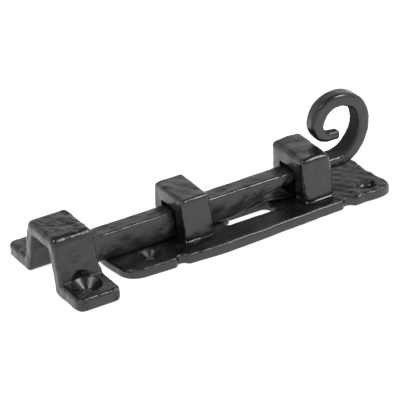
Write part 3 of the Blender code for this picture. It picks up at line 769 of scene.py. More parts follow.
def keeper_sides(sizes):
    """Matching inner and outer points of the flared keeper, from the near foot's end to the far one's.

    The inner side runs under the foot, round the leg's lower corner, up the leg and over the mouth; the
    outer side runs over the foot, round the fillet, up the leg and over the roof.
    """
    foot_end, height = KEEPER_HIGH[1:]
    foot_top = leg = KEEPER_BAR
    top_half, base_half = KEEPER_ROOF_HALF, KEEPER_BASE_HALF
    fillet, shoulder = sizes.fillet / MM, sizes.shoulder / MM
    slope = (base_half - top_half) / (height - foot_top)
    roof = height - KEEPER_BAR
    inner_top = top_half + slope * KEEPER_BAR - leg
    inner_foot = inner_top + slope * roof

    def corner(a, b, c, radius, steps):
        """A round of the given radius between the lines a-b and b-c."""
        a, b, c = (np.asarray(v, float) for v in (a, b, c))
        u, v = (a - b) / np.linalg.norm(a - b), (c - b) / np.linalg.norm(c - b)
        angle = math.acos(float(np.clip(u @ v, -1, 1)))
        back = radius / math.tan(angle / 2)
        centre = b + (u + v) / np.linalg.norm(u + v) * radius / math.sin(angle / 2)
        start, end = b + u * back - centre, b + v * back - centre
        t = np.linspace(0, 1, steps)[:, None]
        ray = start * (1 - t) + end * t
        return centre + ray / np.linalg.norm(ray, axis=1, keepdims=True) * radius

    def piecewise(stretches):
        """Stretches of (corner points, count) joined, each respaced to its own number of stations."""
        rows = []
        for line, count in stretches:
            line = np.asarray(line, float)
            walk = walked(line)
            rows.append(picked(line, walk, np.linspace(0, walk[-1], count, endpoint=False)))
        return np.vstack(rows)

    toe, sole = (-foot_end, foot_top), (-foot_end, 0.0)
    base, heel = (-base_half, foot_top), (-inner_foot, 0)
    peak, mouth = (-top_half, height), (-inner_top, roof)
    low_corner = corner(sole, heel, mouth, 2.8, 9)
    mouth_corner = corner(heel, mouth, (inner_top, roof), 1.3, 9)
    bend = corner(toe, base, peak, fillet, 9)
    bend_start = bend[0] - (0.4, 0.0)
    shoulder = corner(base, peak, (top_half, height), shoulder, 11)
    shoulder_start = bend[-1] * 0.25 + shoulder[0] * 0.75
    over_mouth = (mouth_corner[-1][0], height)
    inner = [
        ([sole, low_corner[0]], 30),
        (low_corner, 12),
        ([low_corner[-1], mouth_corner[0]], 34),
        (mouth_corner, 16),
        ([mouth_corner[-1], (0, roof)], 12),
    ]
    outer = [
        ([toe, bend_start], 30),
        ([bend_start, *bend], 12),
        ([bend[-1], shoulder_start], 34),
        ([shoulder_start, *shoulder, over_mouth], 16),
        ([over_mouth, (0, height)], 12),
    ]
    return mirrored(piecewise(inner), [(0.0, roof)]), mirrored(piecewise(outer), [(0.0, height)])


def hammered(xy, seed):
    """Depth of overlapping hammer marks: the deepest of some twenty shallow bowls, plus a fine ripple.

    Each bowl is a bell of its own place, length, width and turn, bent by slow waves. Its depth is a
    drawn share times e to the minus cube of the distance from its middle, counted in its own widths.
    """
    draw = np.random.default_rng(seed)
    depth = np.zeros(len(xy))
    low, high = xy.min(0), xy.max(0)
    bent = xy + 0.9 * np.stack([swells(xy, 7.0, seed + 3, 2), swells(xy, 7.0, seed + 4, 2)], 1)
    for _ in range(HAMMER_MARKS):
        centre = draw.uniform(low, high)
        long, short = draw.uniform(3.0, 5.4), draw.uniform(1.4, 2.6)
        turn = draw.uniform(0, np.pi)
        gap = bent - centre
        u = (gap[:, 0] * math.cos(turn) + gap[:, 1] * math.sin(turn)) / long
        v = (gap[:, 1] * math.cos(turn) - gap[:, 0] * math.sin(turn)) / short
        depth = np.maximum(depth, draw.uniform(0.5, 1.0) * np.exp(-((u * u + v * v) ** 1.5)))
    return depth + 0.1 * swells(xy, 2.4, seed + 1, 2)


def build_keeper(sizes):
    """The keeper: a ruled arch with spread feet, round foot corners, a hammered roof and two sinks."""
    inner, outer = keeper_sides(sizes)
    half = (KEEPER_HIGH[0] - KEEPER_LOW[0]) / 2
    middle, end = KEEPER_MIDDLE[0], KEEPER_HIGH[1]
    edge, corner = sizes.edge / MM, sizes.foot_corner / MM
    spread = sizes.foot_spread / MM
    # extra stations near each foot's end carry its round corners and its broken edge
    count = 12
    y = corner * (1 - np.sin(np.linspace(0, np.pi / 2, count)))[::-1] - end
    first = int(np.argmax(inner[:, 0] > -end + corner + 0.2))
    kept = slice(first, len(inner) - first)
    inner = mirrored(np.stack([y, np.zeros(count)], 1), inner[kept])
    outer = mirrored(np.stack([y, np.full(count, KEEPER_BAR)], 1), outer[kept])
    reach = np.clip(end - np.abs(outer[:, 0]), 0, None)

    def fallen(radius):
        """How far a quarter round has fallen at each station."""
        return radius - np.sqrt(np.clip(radius**2 - np.clip(radius - reach, 0, None) ** 2, 0, None))

    shrink = fallen(corner)
    drop = np.where(outer[:, 1] < KEEPER_BAR + 0.1, fallen(edge), 0.0)
    inner[:, 1] += drop * 0.35
    outer[:, 1] -= drop
    foot = 1.0 - ease(outer[:, 1], 6.0, 10.0)
    wide = half + spread * foot - shrink
    soft = edge * (1.0 + 0.5 * ease(outer[:, 1], 18.0, 23.0))
    rings, rub = ruled_arch(inner, outer, wide, edge * 0.6, soft, 26, 6)
    flat = rings.reshape(-1, 3)
    flat[:, 0] += middle + 0.4 * np.repeat(foot, rings.shape[1])
    roof = ease(flat[:, 2], KEEPER_HIGH[2] - 1.0, KEEPER_HIGH[2] - 0.1)
    marks = hammered(flat[:, :2], 21)
    roof *= 1.0 - 0.85 * ease(np.abs(flat[:, 1]), 8.0, 10.5)
    roof *= 1.0 - 0.7 * ease(np.abs(flat[:, 0] - middle) / half, 0.72, 0.92)
    flat[:, 2] -= roof * sizes.hammer / MM * marks
    rub = rub - 0.16 * roof.reshape(rub.shape)
    lump = 0.1 * swells(flat, 8.0, 23, 3)
    flat[:, 0] += lump * np.clip((flat[:, 0] - middle) / half, -1, 1) ** 5
    flat[:, 1] += 0.8 * lump * np.sign(flat[:, 1]) * ease(flat[:, 2], 6.0, 9.0)
    on_foot = (flat[:, 2] > 3.0) & (np.abs(flat[:, 1]) > 17.0)
    flat[:, 2] += np.where(on_foot, 0.07 * swells(flat, 4.0, 27, 2), 0.0)
    points, faces = tube(flat.reshape(rings.shape))
    piece = mesh_piece("keeper_forged", points, faces, rub.reshape(-1))
    hole, sink = sizes.hole / MM / 2, sizes.sink / MM / 2
    profile = [(0.02, -1), (hole, -1), (hole, KEEPER_BAR - 0.75 * (sink - hole)), (sink - 0.1, 5.7)]
    profile += [(sink, 6.2), (sink, 8.4), (sink - 1.0, 10.2), (0.02, 10.8)]
    screws = [(side, side * (end - KEEPER_HOLE_FROM_END)) for side in (-1, 1)]
    bite(piece, *(mesh_piece(f"sink_{k}", *tube(turned(profile, middle, y, 96))) for k, y in screws))
    return piece


# ---------------------------------------------------------------- bar and scroll

BAR_UNDER, BAR_TOP, BAR_WIDTH = 4.1, 15.5, 9.5
RELIEF = (17.5, 45.5)
NECK = (69.5, 5.3, 4.4)
SCROLL_CENTRE = (76.0, 29.5)
# stations from the relief to the tip, and those that round the tip off
PATH_STATIONS, TIP_STATIONS = 190, 8
# counted from the last station: where the curl starts, and where its edges are least rubbed
CURL_START, CURL_PLAIN = 170, 120
# counted in the same way: where the forging marks begin to fade, and where they are faint
FADE_START, FADE_END = 60, 25
# counted from the first station: those that make the nose
NOSE_STATIONS = 40
# the hole for the pin and the pocket for the spring: where they begin and end in height, their gap
CUT_LOW, PIN_HOLE_TOP, POCKET_TOP = 2.0, 10.4, 5.2
CUT_GAP = 0.3
# degrees from straight down, distance from the scroll's centre, thickness
SCROLL_TURN = np.array(
    [
        (0.0, 16.2, 5.2), (24.0, 14.1, 5.5), (56.5, 12.1, 5.5), (90.5, 11.3, 5.8), (126.0, 11.7, 6.1),
        (160.0, 11.4, 5.9), (192.0, 11.2, 6.0), (223.0, 11.1, 6.5), (257.5, 10.6, 6.1),
        (285.0, 9.4, 5.2), (308.0, 7.5, 4.5), (329.0, 5.8, 4.2), (350.0, 5.2, 4.1),
    ]
)


def underside(x):
    """Height of the bar's underside: level to the relief, a smooth rise through it, then the neck."""
    neck = BAR_TOP - NECK[1]
    rising = BAR_UNDER + (neck - BAR_UNDER) * ease(x, *RELIEF)
    return rising + (NECK[1] - NECK[2]) * np.clip((x - RELIEF[1]) / (NECK[0] - RELIEF[1]), 0, 1)


def through(knots, values, t):
    """A smooth curve through the values at uneven knots: each span is the cubic whose end slopes are
    those of the chord between its two neighbours."""
    slopes = np.empty_like(values)
    slopes[1:-1] = (values[2:] - values[:-2]) / (knots[2:] - knots[:-2])[:, None]
    slopes[0] = (values[1] - values[0]) / (knots[1] - knots[0])
    slopes[-1] = (values[-1] - values[-2]) / (knots[-1] - knots[-2])
    k = np.clip(np.searchsorted(knots, t, side="right") - 1, 0, len(knots) - 2)
    span = (knots[k + 1] - knots[k])[:, None]
    s = ((t - knots[k])[:, None]) / span
    return (
        values[k] * (2 * s**3 - 3 * s**2 + 1)
        + slopes[k] * span * (s**3 - 2 * s**2 + s)
        + values[k + 1] * (3 * s**2 - 2 * s**3)
        + slopes[k + 1] * span * (s**3 - s**2)
    )


def section(unit, half_width, half_height, radius):
    """Distances across and up of each point of the unit section (see rounded_section)."""
    across = unit[:, 0] * (half_width - radius) + unit[:, 2] * radius
    up = unit[:, 1] * (half_height - radius) + unit[:, 3] * radius
    return across, up


def carried(x, z, lean, across, up):
    """Sections stood across a path in X and Z, each leaning with it."""
    return np.stack([x - up * np.sin(lean), across, z + up * np.cos(lean)], -1)


def bar_stations(sizes):
    """x, z, lean, width, height and edge radius at each station from the nose to the scroll's tip."""
    edge, nose, tip = sizes.edge / MM, sizes.nose / MM, sizes.tip / MM
    start = BAR_LOW[0]
    a = np.linspace(0, np.pi / 2, 7)[:-1]
    nose_x = start + nose * (1 - np.cos(a))
    nose_in = nose * (1 - np.sin(a))
    x = np.concatenate([nose_x, np.arange(start + nose, RELIEF[1], 0.7)])
    tuck = np.concatenate([nose_in, np.zeros(len(x) - len(nose_x))])
    floor = underside(x)
    width, height = BAR_WIDTH - 2 * tuck, BAR_TOP - floor - 2 * tuck
    straight = [x, (BAR_TOP + floor) / 2, np.zeros_like(x), width, height, np.full_like(x, edge)]
    neck_x = np.array([RELIEF[1], (RELIEF[1] + NECK[0]) / 2, NECK[0]])
    neck_floor = underside(neck_x)
    neck = [neck_x, (BAR_TOP + neck_floor) / 2, BAR_TOP - neck_floor, np.full(3, BAR_WIDTH)]
    turn, reach, thick = SCROLL_TURN.T
    angle = np.radians(turn - 90)
    curl_x = SCROLL_CENTRE[0] + reach * np.cos(angle)
    curl_z = SCROLL_CENTRE[1] + reach * np.sin(angle)
    share_on = np.minimum(1.0, 1.35 * ease(np.linspace(0, 1, len(turn)), 0, 1))
    curl = [curl_x, curl_z, thick, BAR_WIDTH + (tip - BAR_WIDTH) * share_on]
    rows = np.vstack([np.stack(neck, 1), np.stack(curl, 1)])
    knots = walked(rows[:, :2])
    t = np.linspace(0, knots[-1], PATH_STATIONS)
    path = through(knots, rows, t)
    ahead = through(knots, rows, np.minimum(t + 0.05, knots[-1]))
    slope = ahead - through(knots, rows, np.maximum(t - 0.05, 0))
    lean = np.unwrap(np.arctan2(slope[:, 1], slope[:, 0]))
    lean[0] = 0.0
    part = t / knots[-1]
    radius = edge + (1.75 - edge) * ease(part, 0.12, 0.45)
    nub = 1.0 - 0.25 * ease(part, 0.86, 1.0)
    curved = np.stack([path[:, 0], path[:, 1], lean, path[:, 3] * nub, path[:, 2], radius], 1)
    # the tip is rounded off by ever smaller sections a little way on
    last = curved[-1]
    a = np.linspace(0, np.pi / 2, TIP_STATIONS + 1)[1:]
    on, small = 1.5 * np.sin(a), 0.1 + 0.9 * np.cos(a)
    cap = np.tile(last, (TIP_STATIONS, 1))
    cap[:, 0] += on * math.cos(last[2])
    cap[:, 1] += on * math.sin(last[2])
    cap[:, 3:] *= small[:, None]
    return np.vstack([np.stack(straight, 1), curved, cap])


def build_bar(sizes):
    """Bar, neck and scroll: a rounded rectangle carried along the forging's own path."""
    rows = bar_stations(sizes)
    unit = rounded_section(9, 6)
    x, z, lean, width, height, radius = (rows[:, k][:, None] for k in range(6))
    radius = np.minimum(radius, 0.49 * np.minimum(width, height))
    across, up = section(unit, width / 2, height / 2, radius)
    # station numbers, and stations still to come
    place = np.arange(len(rows))
    left = len(rows) - place
    upright = (left > PATH_STATIONS + TIP_STATIONS)[:, None]
    lean_in = sizes.draft / MM * 2 * up / (BAR_TOP - BAR_UNDER)
    across -= upright * np.clip(across / 3.0, -1, 1) * lean_in
    rings = carried(x, z, lean, across, up)
    flat = rings.reshape(-1, 3)
    normal = carried(0, 0, lean, unit[:, 2] * np.ones_like(lean), unit[:, 3]).reshape(-1, 3)
    # broad hammer marks, and a rougher inner side where the scroll was bent round the anvil's horn
    lump = sizes.lump / MM
    mark = lump * (0.8 * swells(flat, 17.0, 31, 2) + 0.35 * swells(flat, 5.0, 33, 2))
    under = np.repeat(rows[:, 0] < RELIEF[0], len(unit)) & (flat[:, 2] < BAR_UNDER + 2.0)
    mark = np.where(under, 0.0, mark)
    inner = np.tile(np.clip(unit[:, 3], 0, 1), (len(rows), 1)) * (left < CURL_START)[:, None]
    mark = mark + inner.reshape(-1) * 0.09 * swells(flat, 1.5, 35, 2)
    fade = 1.0 - 0.8 * ease(place, len(rows) - FADE_START, len(rows) - FADE_END)
    # the marks leave the nose plain
    past_nose = np.where(place > NOSE_STATIONS, 1.0, ease(rows[:, 0], BAR_LOW[0] + 1, BAR_LOW[0] + 6))
    mark *= np.repeat(fade, len(unit))
    mark *= np.repeat(past_nose, len(unit))
    flat += normal * mark[:, None]
    corner = np.abs(2 * unit[:, 2] * unit[:, 3]) * (np.abs(unit[:, 0]) + np.abs(unit[:, 1]) > 1.9)
    rub = np.tile(corner, (len(rows), 1))
    rub *= 1.0 - 0.75 * ease(place, len(rows) - CURL_START, len(rows) - CURL_PLAIN)[:, None]
    rub -= np.clip(inner - 0.6, 0, 1) * 2.0
    points, faces = tube(flat.reshape(rings.shape))
    piece = mesh_piece("bar_forged", points, faces, rub.reshape(-1))
    bore = (PIN_HIGH[0] - PIN_LOW[0]) / 2 + CUT_GAP
    low, high = CUT_LOW, PIN_HOLE_TOP
    pin = turned([(0.02, low), (bore, low), (bore, high), (0.02, high)], *PIN_MIDDLE[:2], 48)
    pocket_x = (SPRING_LOW[0] - CUT_GAP, RELIEF[1])
    wide, high = SPRING_HIGH[1] + CUT_GAP, POCKET_TOP
    ring = np.array([(-wide, low), (wide, low), (wide, high), (-wide, high)])
    pocket = np.stack([np.column_stack([np.full(4, px), ring]) for px in pocket_x])
    bite(piece, mesh_piece("pin_hole", *tube(pin)), mesh_piece("spring_pocket", *tube(pocket)))
    return piece


# ---------------------------------------------------------------- pin, spring and rivet


def build_pin(sizes):
    """The stop pin: a turned peg with a chamfered end."""
    r = sizes.pin / MM / 2
    low, high = PIN_LOW[2], PIN_HIGH[2]
    profile = [(0.02, low), (r - 0.75, low), (r - 0.5, low + 0.08), (r - 0.08, low + 0.45)]
    profile += [(r, low + 0.65), (r, high - 0.2), (r - 0.2, high), (0.02, high)]
    sides = 64
    rub = np.repeat([0, 0.5, 1, 1, 0.4, 0, 0, 0], sides)
    return mesh_piece("pin_turned", *tube(turned(profile, *PIN_MIDDLE[:2], sides)), rub, TURNED_SHARP)


def build_spring(sizes):
    """The spring: a thin rounded rectangle carried along a strip that lies flat, bows and ends in a
    toe. The bow is the square of half a sine wave."""
    strip = sizes.strip / MM
    rest, start = SPRING_LOW[2], SPRING_LOW[0]
    bow_start, bow_end, toe = start + 6.4, start + 26.4, SPRING_HIGH[0]
    x = [[start, start + 0.15, start + 0.4], np.linspace(start + 1, toe - 0.4, 90), [toe - 0.15, toe]]
    x = np.concatenate(x)
    lift = sizes.bow / MM * np.sin(np.pi * np.clip((x - bow_start) / (bow_end - bow_start), 0, 1)) ** 2
    lift += 0.5 * ease(x, bow_end, toe + 1.0)
    lean = np.arctan(np.gradient(lift, x))[:, None]
    tuck = np.clip(0.4 - np.minimum(x - start, toe - x), 0, None)[:, None] * 0.6
    unit = rounded_section(6, 4)
    half = SPRING_HIGH[1] - tuck * 2
    thick = strip / 2 - tuck * 0.6
    across, up = section(unit, half, thick, np.minimum(0.28, thick * 0.9))
    rings = carried(x[:, None], (rest + strip / 2 + lift)[:, None], lean, across, up)
    rub = np.tile(np.abs(2 * unit[:, 2] * unit[:, 3]) > 0.3, len(x))
    return mesh_piece("spring_strip", *tube(rings), rub)


def build_rivet(sizes):
    """The rivet: a turned shank with a low rounded head set flush with the strip."""
    r = sizes.rivet / MM / 2
    low, high = RIVET_LOW[2], RIVET_HIGH[2]
    a = np.linspace(0, np.pi / 2, 6)
    profile = [(0.02 + r * math.sin(t), low + 0.25 * (1 - math.cos(t))) for t in a]
    profile += [(r, high), (0.02, high)]
    return mesh_piece("rivet_set", *tube(turned(profile, *RIVET_MIDDLE[:2], 40)), None, TURNED_SHARP)


# ---------------------------------------------------------------- finishes


def maths(tree, operation, a, b, clamp=False):
    """The output of a Math node in the tree; a and b are numbers, or outputs that it takes."""
    node = tree.nodes.new("ShaderNodeMath")
    node.operation = operation
    node.use_clamp = clamp
    for socket, value in zip(node.inputs, (a, b)):
        if isinstance(value, (int, float)):
            socket.default_value = value
        else:
            tree.links.new(value, socket)
    return node.outputs[0]


def paint_group():
    """Black paint over iron: colour, roughness and height from the surface's own place and its rubbing.

    Fine grain, low ripples and sparse pits make the height. Slow clouds make the sheen uneven. Rubbing
    reaches in from the edges, broken up by the same grain, and shows a greyer, smoother paint there.
    Where the rubbing is below nothing the paint is dull instead.
    """
    name = "black_paint_over_iron"
    if name in bpy.data.node_groups:
        return bpy.data.node_groups[name]
    group = bpy.data.node_groups.new(name, "ShaderNodeTree")
    face = group.interface
    for way, kind, labels in (
        ("INPUT", "Vector", ("Place",)),
        ("INPUT", "Color", ("Paint", "Rubbed")),
        ("INPUT", "Float", ("Rub", "Roughness", "Wear", "Grain", "Lumps", "Pits")),
        ("OUTPUT", "Color", ("Colour",)),
        ("OUTPUT", "Float", ("Roughness", "Height")),
    ):
        for label in labels:
            face.new_socket(name=label, in_out=way, socket_type=f"NodeSocket{kind}")
    nodes, links = group.nodes, group.links
    given, made = nodes.new("NodeGroupInput"), nodes.new("NodeGroupOutput")

    def noise(**settings):
        """A noise texture at the surface's place."""
        node = nodes.new("ShaderNodeTexNoise")
        for label, value in settings.items():
            node.inputs[label].default_value = value
        links.new(given.outputs["Place"], node.inputs["Vector"])
        return node.outputs["Fac"]

    def calc(operation, a, b, clamp=False):
        """A Math node of this group."""
        return maths(group, operation, a, b, clamp)

    def ramp(value, *ends):
        """The value eased from two given ends to two new ones."""
        node = nodes.new("ShaderNodeMapRange")
        node.interpolation_type = "SMOOTHSTEP"
        for label, number in zip(("From Min", "From Max", "To Min", "To Max"), ends):
            node.inputs[label].default_value = number
        links.new(value, node.inputs["Value"])
        return node.outputs["Result"]

    # scales are in waves per metre
    grain = noise(Scale=2600.0, Detail=4.0, Roughness=0.6)
    lumps = noise(Scale=330.0, Detail=3.0, Roughness=0.55, Distortion=0.4)
    clouds = noise(Scale=95.0, Detail=3.0, Roughness=0.5, Distortion=0.8)
    cells = nodes.new("ShaderNodeTexVoronoi")
    cells.inputs["Scale"].default_value = 620.0
    links.new(given.outputs["Place"], cells.inputs["Vector"])
    dots = ramp(cells.outputs["Distance"], 0.0, 0.32, 1.0, 0.0)
    pits = calc("MULTIPLY", dots, ramp(lumps, 0.52, 0.62))

    height = calc("MULTIPLY", grain, given.outputs["Grain"])
    rippled = calc("MULTIPLY", lumps, given.outputs["Lumps"])
    height = calc("ADD", height, calc("MULTIPLY", rippled, 4.0))
    height = calc("SUBTRACT", height, calc("MULTIPLY", pits, given.outputs["Pits"]))
    links.new(height, made.inputs["Height"])

    broken = given.outputs["Rub"]
    for ripple, strong in ((lumps, 1.6), (grain, 0.8)):
        broken = calc("ADD", broken, calc("MULTIPLY", calc("SUBTRACT", ripple, 0.5), strong))
    start = calc("SUBTRACT", 1.25, given.outputs["Wear"])
    worn = calc("MULTIPLY", calc("SUBTRACT", broken, start), 2.2, clamp=True)

    shade = nodes.new("ShaderNodeMix")
    shade.data_type = "RGBA"
    links.new(worn, shade.inputs["Factor"])
    links.new(given.outputs["Paint"], shade.inputs["A"])
    links.new(given.outputs["Rubbed"], shade.inputs["B"])
    tone = nodes.new("ShaderNodeHueSaturation")
    links.new(ramp(clouds, 0.3, 0.7, 0.75, 1.25), tone.inputs["Value"])
    links.new(shade.outputs["Result"], tone.inputs["Color"])
    links.new(tone.outputs["Color"], made.inputs["Colour"])

    sheen = calc("ADD", given.outputs["Roughness"], ramp(clouds, 0.3, 0.7, -0.05, 0.07))
    sheen = calc("ADD", sheen, calc("MULTIPLY", pits, 0.15))
    sheen = calc("SUBTRACT", sheen, calc("MULTIPLY", worn, 0.06))
    dull = calc("MULTIPLY", given.outputs["Rub"], -1.0, clamp=True)
    sheen = calc("ADD", sheen, calc("MULTIPLY", dull, 0.8), clamp=True)
    links.new(sheen, made.inputs["Roughness"])
    return group


# depth of the bump at full height, in metres
BUMP_DEPTH = 0.00012


def finish_material(name, colours, shine=0.5, metallic=0.0, bump=0.5, **paint):
    """A Principled surface whose colour, roughness and bump come from the shared paint group.

    colours are those of whole and of rubbed paint; paint sets the group's other inputs by name.
    """
    material = bpy.data.materials.new(name)
    material.use_nodes = True
    nodes, links = material.node_tree.nodes, material.node_tree.links
    shader = nodes["Principled BSDF"]
    place = nodes.new("ShaderNodeTexCoord")
    rub = nodes.new("ShaderNodeAttribute")
    rub.attribute_name = "rub"
    group = nodes.new("ShaderNodeGroup")
    group.node_tree = paint_group()
    links.new(place.outputs["Object"], group.inputs["Place"])
    links.new(rub.outputs["Fac"], group.inputs["Rub"])
    for label, value in zip(("Paint", "Rubbed"), colours):
        group.inputs[label].default_value = (*value, 1.0)
    for label, value in paint.items():
        group.inputs[label].default_value = value
    raised = nodes.new("ShaderNodeBump")
    raised.inputs["Strength"].default_value = bump
    raised.inputs["Distance"].default_value = BUMP_DEPTH
    links.new(group.outputs["Height"], raised.inputs["Height"])
    links.new(group.outputs["Colour"], shader.inputs["Base Color"])
    links.new(group.outputs["Roughness"], shader.inputs["Roughness"])
    links.new(raised.outputs["Normal"], shader.inputs["Normal"])
    shader.inputs["Metallic"].default_value = metallic
    shader.inputs["Specular IOR Level"].default_value = shine
    return material


def black_paint(name, look, rougher=0.0, more_wear=0.0, **texture):
    """The black paint of the finish settings, with one piece's own texture."""
    colours = look.black, look.rubbed
    gloss, wear = look.gloss + rougher, look.wear + more_wear
    return finish_material(name, colours, look.shine, Roughness=gloss, Wear=wear, **texture)


def bare_steel(name, look, rubbed, bump, **texture):
    """Blackened steel, showing grey where it is rubbed."""
    colours = look.steel, (rubbed, rubbed, rubbed)
    return finish_material(name, colours, 0.5, 0.8, bump, Wear=look.wear, Pits=0.1, **texture)


def dress(piece, material, body, node):
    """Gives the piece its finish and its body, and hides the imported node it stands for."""
    piece.data.materials.clear()
    piece.data.materials.append(material)
    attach(piece, body)
    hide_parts(node)


# ---------------------------------------------------------------- operators


class Step:
    """What the operators share: each makes its pieces from the scene's settings."""

    def execute(self, context):
        self.make(context.scene.door_bolt)
        return {"FINISHED"}


class DOORBOLT_OT_plate(Step, bpy.types.Operator):
    """Make the cast plate with its countersinks, slot and nicks"""

    bl_idname = "doorbolt.plate"
    bl_label = "Plate"

    def make(self, look):
        paint = black_paint("cast_plate_paint", look.finish, 0.02, Grain=0.5, Lumps=0.5, Pits=0.5)
        dress(build_plate(look.plate), paint, "plate", "backplate")


class DOORBOLT_OT_staples(Step, bpy.types.Operator):
    """Make the crisp front staple and the rounded rear one"""

    bl_idname = "doorbolt.staples"
    bl_label = "Staples"

    def make(self, look):
        sizes = look.staple
        paint = black_paint("staple_paint", look.finish, Grain=0.3, Lumps=0.3, Pits=0.2)
        front_edge, rear_edge, crown = sizes.front_edge / MM, sizes.rear_edge / MM, sizes.crown / MM
        front = build_staple("front_staple_cast", FRONT_LOW, FRONT_HIGH, front_edge, 0.08, 41, sizes)
        rear = build_staple("rear_staple_cast", REAR_LOW, REAR_HIGH, rear_edge, crown, 43, sizes)
        dress(front, paint, "plate", "front_staple")
        dress(rear, paint, "plate", "rear_staple")


class DOORBOLT_OT_bar(Step, bpy.types.Operator):
    """Make the forged bar with its neck and scroll"""

    bl_idname = "doorbolt.bar"
    bl_label = "Bar and scroll"

    def make(self, look):
        paint = black_paint("forged_bar_paint", look.finish, 0.0, 0.1, Grain=0.3, Lumps=0.4, Pits=0.3)
        dress(build_bar(look.bar), paint, "bolt", "bolt")


class DOORBOLT_OT_keeper(Step, bpy.types.Operator):
    """Make the flared keeper with its hammered roof and countersunk feet"""

    bl_idname = "doorbolt.keeper"
    bl_label = "Keeper"

    def make(self, look):
        paint = black_paint("keeper_paint", look.finish, Grain=0.35, Lumps=0.4, Pits=0.4)
        dress(build_keeper(look.keeper), paint, "keeper", "keeper")


class DOORBOLT_OT_fixings(Step, bpy.types.Operator):
    """Make the stop pin, the friction spring and its rivet"""

    bl_idname = "doorbolt.fixings"
    bl_label = "Pin, spring and rivet"

    def make(self, look):
        sizes, finish = look.fixing, look.finish
        paint = black_paint("pin_paint", finish, 0.05, Grain=0.3, Lumps=0.2, Pits=0.1)
        texture = {"Roughness": 0.36, "Grain": 0.2, "Lumps": 0.1}
        spring = bare_steel("blackened_spring_steel", finish, 0.09, 0.25, **texture)
        texture = {"Roughness": 0.4, "Grain": 0.3, "Lumps": 0.2}
        rivet = bare_steel("blackened_rivet_steel", finish, 0.22, 0.3, **texture)
        dress(build_pin(sizes), paint, "bolt", "stop_pin")
        dress(build_spring(sizes), spring, "bolt", "friction_spring")
        dress(build_rivet(sizes), rivet, "bolt", "spring_rivet")


class DOORBOLT_OT_stage(Step, bpy.types.Operator):
    """Set the pale floor, the soft lamps and the camera"""

    bl_idname = "doorbolt.stage"
    bl_label = "Floor, lamps and camera"

    def make(self, look):
        bpy.context.scene.view_settings.view_transform = "Standard"
        pale_floor(look.stage.floor)
        pale_world()
        for name, place, size, power in LAMPS:
            softbox(name, place, size, power * look.stage.soft)
        set_camera()


# ---------------------------------------------------------------- stage

# place in metres from the origin, size in metres, power in watts
LAMPS = (
    ("softbox_front", (0.52, -0.36, 0.78), (0.44, 0.42), 6.6),
    ("softbox_top", (-0.42, 0.02, 0.9), (0.28, 0.28), 2.2),
)


# half the floor's side and its height, in metres; how bright it looks of its own to the camera
FLOOR_REACH, FLOOR_Z = 3.0, -0.0004
FLOOR_LIFT = 0.9


def pale_floor(tint):
    """A wide pale sheet under the bolt. What the camera or a shiny surface sees of it is lifted close
    to white, and the bolt's soft shadow stays on it."""
    mesh = bpy.data.meshes.new("floor")
    corners = (-1, -1), (1, -1), (1, 1), (-1, 1)
    corners = [(FLOOR_REACH * x, FLOOR_REACH * y, FLOOR_Z) for x, y in corners]
    mesh.from_pydata(corners, [], [(0, 1, 2, 3)])
    floor = bpy.data.objects.new("floor", mesh)
    bpy.context.scene.collection.objects.link(floor)
    material = bpy.data.materials.new("pale_floor")
    material.use_nodes = True
    tree = material.node_tree
    nodes, links = tree.nodes, tree.links
    nodes.clear()
    out = nodes.new("ShaderNodeOutputMaterial")
    lit = nodes.new("ShaderNodeBsdfDiffuse")
    lit.inputs["Color"].default_value = (*tint, 1.0)
    glow = nodes.new("ShaderNodeEmission")
    glow.inputs["Color"].default_value = (1, 1, 1, 1)
    both = nodes.new("ShaderNodeAddShader")
    rays = nodes.new("ShaderNodeLightPath").outputs
    seen = rays["Is Camera Ray"]
    for kind in ("Glossy", "Transmission"):
        seen = maths(tree, "MAXIMUM", seen, rays[f"Is {kind} Ray"])
    links.new(maths(tree, "MULTIPLY", seen, FLOOR_LIFT), glow.inputs["Strength"])
    links.new(lit.outputs[0], both.inputs[0])
    links.new(glow.outputs[0], both.inputs[1])
    links.new(both.outputs[0], out.inputs["Surface"])
    mesh.materials.append(material)


# height of the direction looked in (0 at the horizon, 1 overhead), whiteness there
WORLD_STOPS = ((0.0, 1.0), (0.3, 1.0), (0.5, 0.95), (0.66, 0.4), (0.8, 0.2), (1.0, 0.15))


def pale_world():
    """White round the horizon, falling to a dim grey overhead, as in a tent with a dark top."""
    world = bpy.data.worlds.new("pale_studio")
    bpy.context.scene.world = world
    world.use_nodes = True
    nodes, links = world.node_tree.nodes, world.node_tree.links
    back = nodes["Background"]
    way = nodes.new("ShaderNodeTexCoord")
    parts = nodes.new("ShaderNodeSeparateXYZ")
    links.new(way.outputs["Generated"], parts.inputs[0])
    fall = nodes.new("ShaderNodeValToRGB")
    links.new(parts.outputs["Z"], fall.inputs["Fac"])
    stops = fall.color_ramp
    stops.interpolation = "EASE"
    while len(stops.elements) < len(WORLD_STOPS):
        stops.elements.new(0.5)
    for stop, (height, white) in zip(stops.elements, WORLD_STOPS):
        stop.position = height
        stop.color = (white, white, white, 1.0)
    links.new(fall.outputs["Color"], back.inputs["Color"])
    back.inputs["Strength"].default_value = 1.0


def softbox(name, place, size, power):
    """A rectangular lamp that faces the middle of the bolt."""
    lamp = bpy.data.lights.new(name, "AREA")
    lamp.shape = "RECTANGLE"
    lamp.size, lamp.size_y = size
    lamp.energy = power
    obj = bpy.data.objects.new(name, lamp)
    obj.location = place
    aim = Vector((0.01, 0, 0.015)) - obj.location
    obj.rotation_mode = "QUATERNION"
    obj.rotation_quaternion = aim.to_track_quat("-Z", "Y")
    bpy.context.scene.collection.objects.link(obj)


# azimuth, elevation and roll in degrees
CAMERA_TURN = (-27.6615, 28.045, -4.4961)
# where the camera stands in its own axes, and the point on the bolt it is set from, in millimetres
CAMERA_PLACE = (11.849, 16.833, 1644.425)
CAMERA_ORIGIN = (-6.5, 0, 0)
SENSOR = 36.0
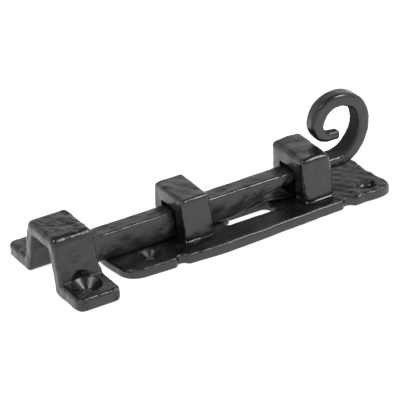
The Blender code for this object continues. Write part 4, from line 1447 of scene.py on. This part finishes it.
# focal length as a share of the sensor's width
CAMERA_REACH = 3939.67 / 400


def set_camera():
    """A long lens on the keeper's side, turned a little about its own axis."""
    azimuth, elevation, roll = (math.radians(v) for v in CAMERA_TURN)
    ca, sa, ce, se = math.cos(azimuth), math.sin(azimuth), math.cos(elevation), math.sin(elevation)
    back = Vector((sa * ce, -ca * ce, se))
    right = Vector((ca, sa, 0.0))
    up = back.cross(right)
    c, s = math.cos(roll), math.sin(roll)
    right, up = c * right + s * up, c * up - s * right
    turned_by = Matrix((right, up, back)).transposed()
    data = bpy.data.cameras.new("camera")
    data.sensor_width = SENSOR
    data.lens = CAMERA_REACH * SENSOR
    data.clip_start, data.clip_end = 0.05, 20.0
    camera = bpy.data.objects.new("camera", data)
    place = turned_by @ (Vector(CAMERA_PLACE) * MM) + Vector(CAMERA_ORIGIN) * MM
    camera.matrix_world = Matrix.Translation(place) @ turned_by.to_4x4()
    bpy.context.scene.collection.objects.link(camera)
    bpy.context.scene.camera = camera


# ---------------------------------------------------------------- panel and run


class DOORBOLT_PT_panel(bpy.types.Panel):
    """Sizes, finishes and the steps that make the bolt"""

    bl_label = "Door Bolt"
    bl_idname = "DOORBOLT_PT_panel"
    bl_space_type = "VIEW_3D"
    bl_region_type = "UI"
    bl_category = "Door Bolt"

    def draw(self, context):
        look = context.scene.door_bolt
        for part in DoorBolt.__annotations__:
            group, box = getattr(look, part), self.layout.box()
            for key in type(group).__annotations__:
                box.prop(group, key)
        for step in STEPS:
            self.layout.operator(f"doorbolt.{step}")


STEPS = ("plate", "staples", "bar", "keeper", "fixings", "stage")
CLASSES = (
    PlateSizes, StapleSizes, BarSizes, KeeperSizes, FixingSizes, FinishColours, StageLook, DoorBolt,
    DOORBOLT_OT_plate, DOORBOLT_OT_staples, DOORBOLT_OT_bar, DOORBOLT_OT_keeper, DOORBOLT_OT_fixings,
    DOORBOLT_OT_stage, DOORBOLT_PT_panel,
)


def register():
    """Makes the classes and the scene's settings known."""
    for cls in CLASSES:
        bpy.utils.register_class(cls)
    bpy.types.Scene.door_bolt = settings(DoorBolt, "Door bolt", "Sizes and finishes of the door bolt")


def unregister():
    """Takes them out again."""
    del bpy.types.Scene.door_bolt
    for cls in reversed(CLASSES):
        bpy.utils.unregister_class(cls)


def main():
    """Makes every piece and the stage."""
    register()
    for step in STEPS:
        getattr(bpy.ops.doorbolt, step)()


if __name__ == "__main__":
    main()
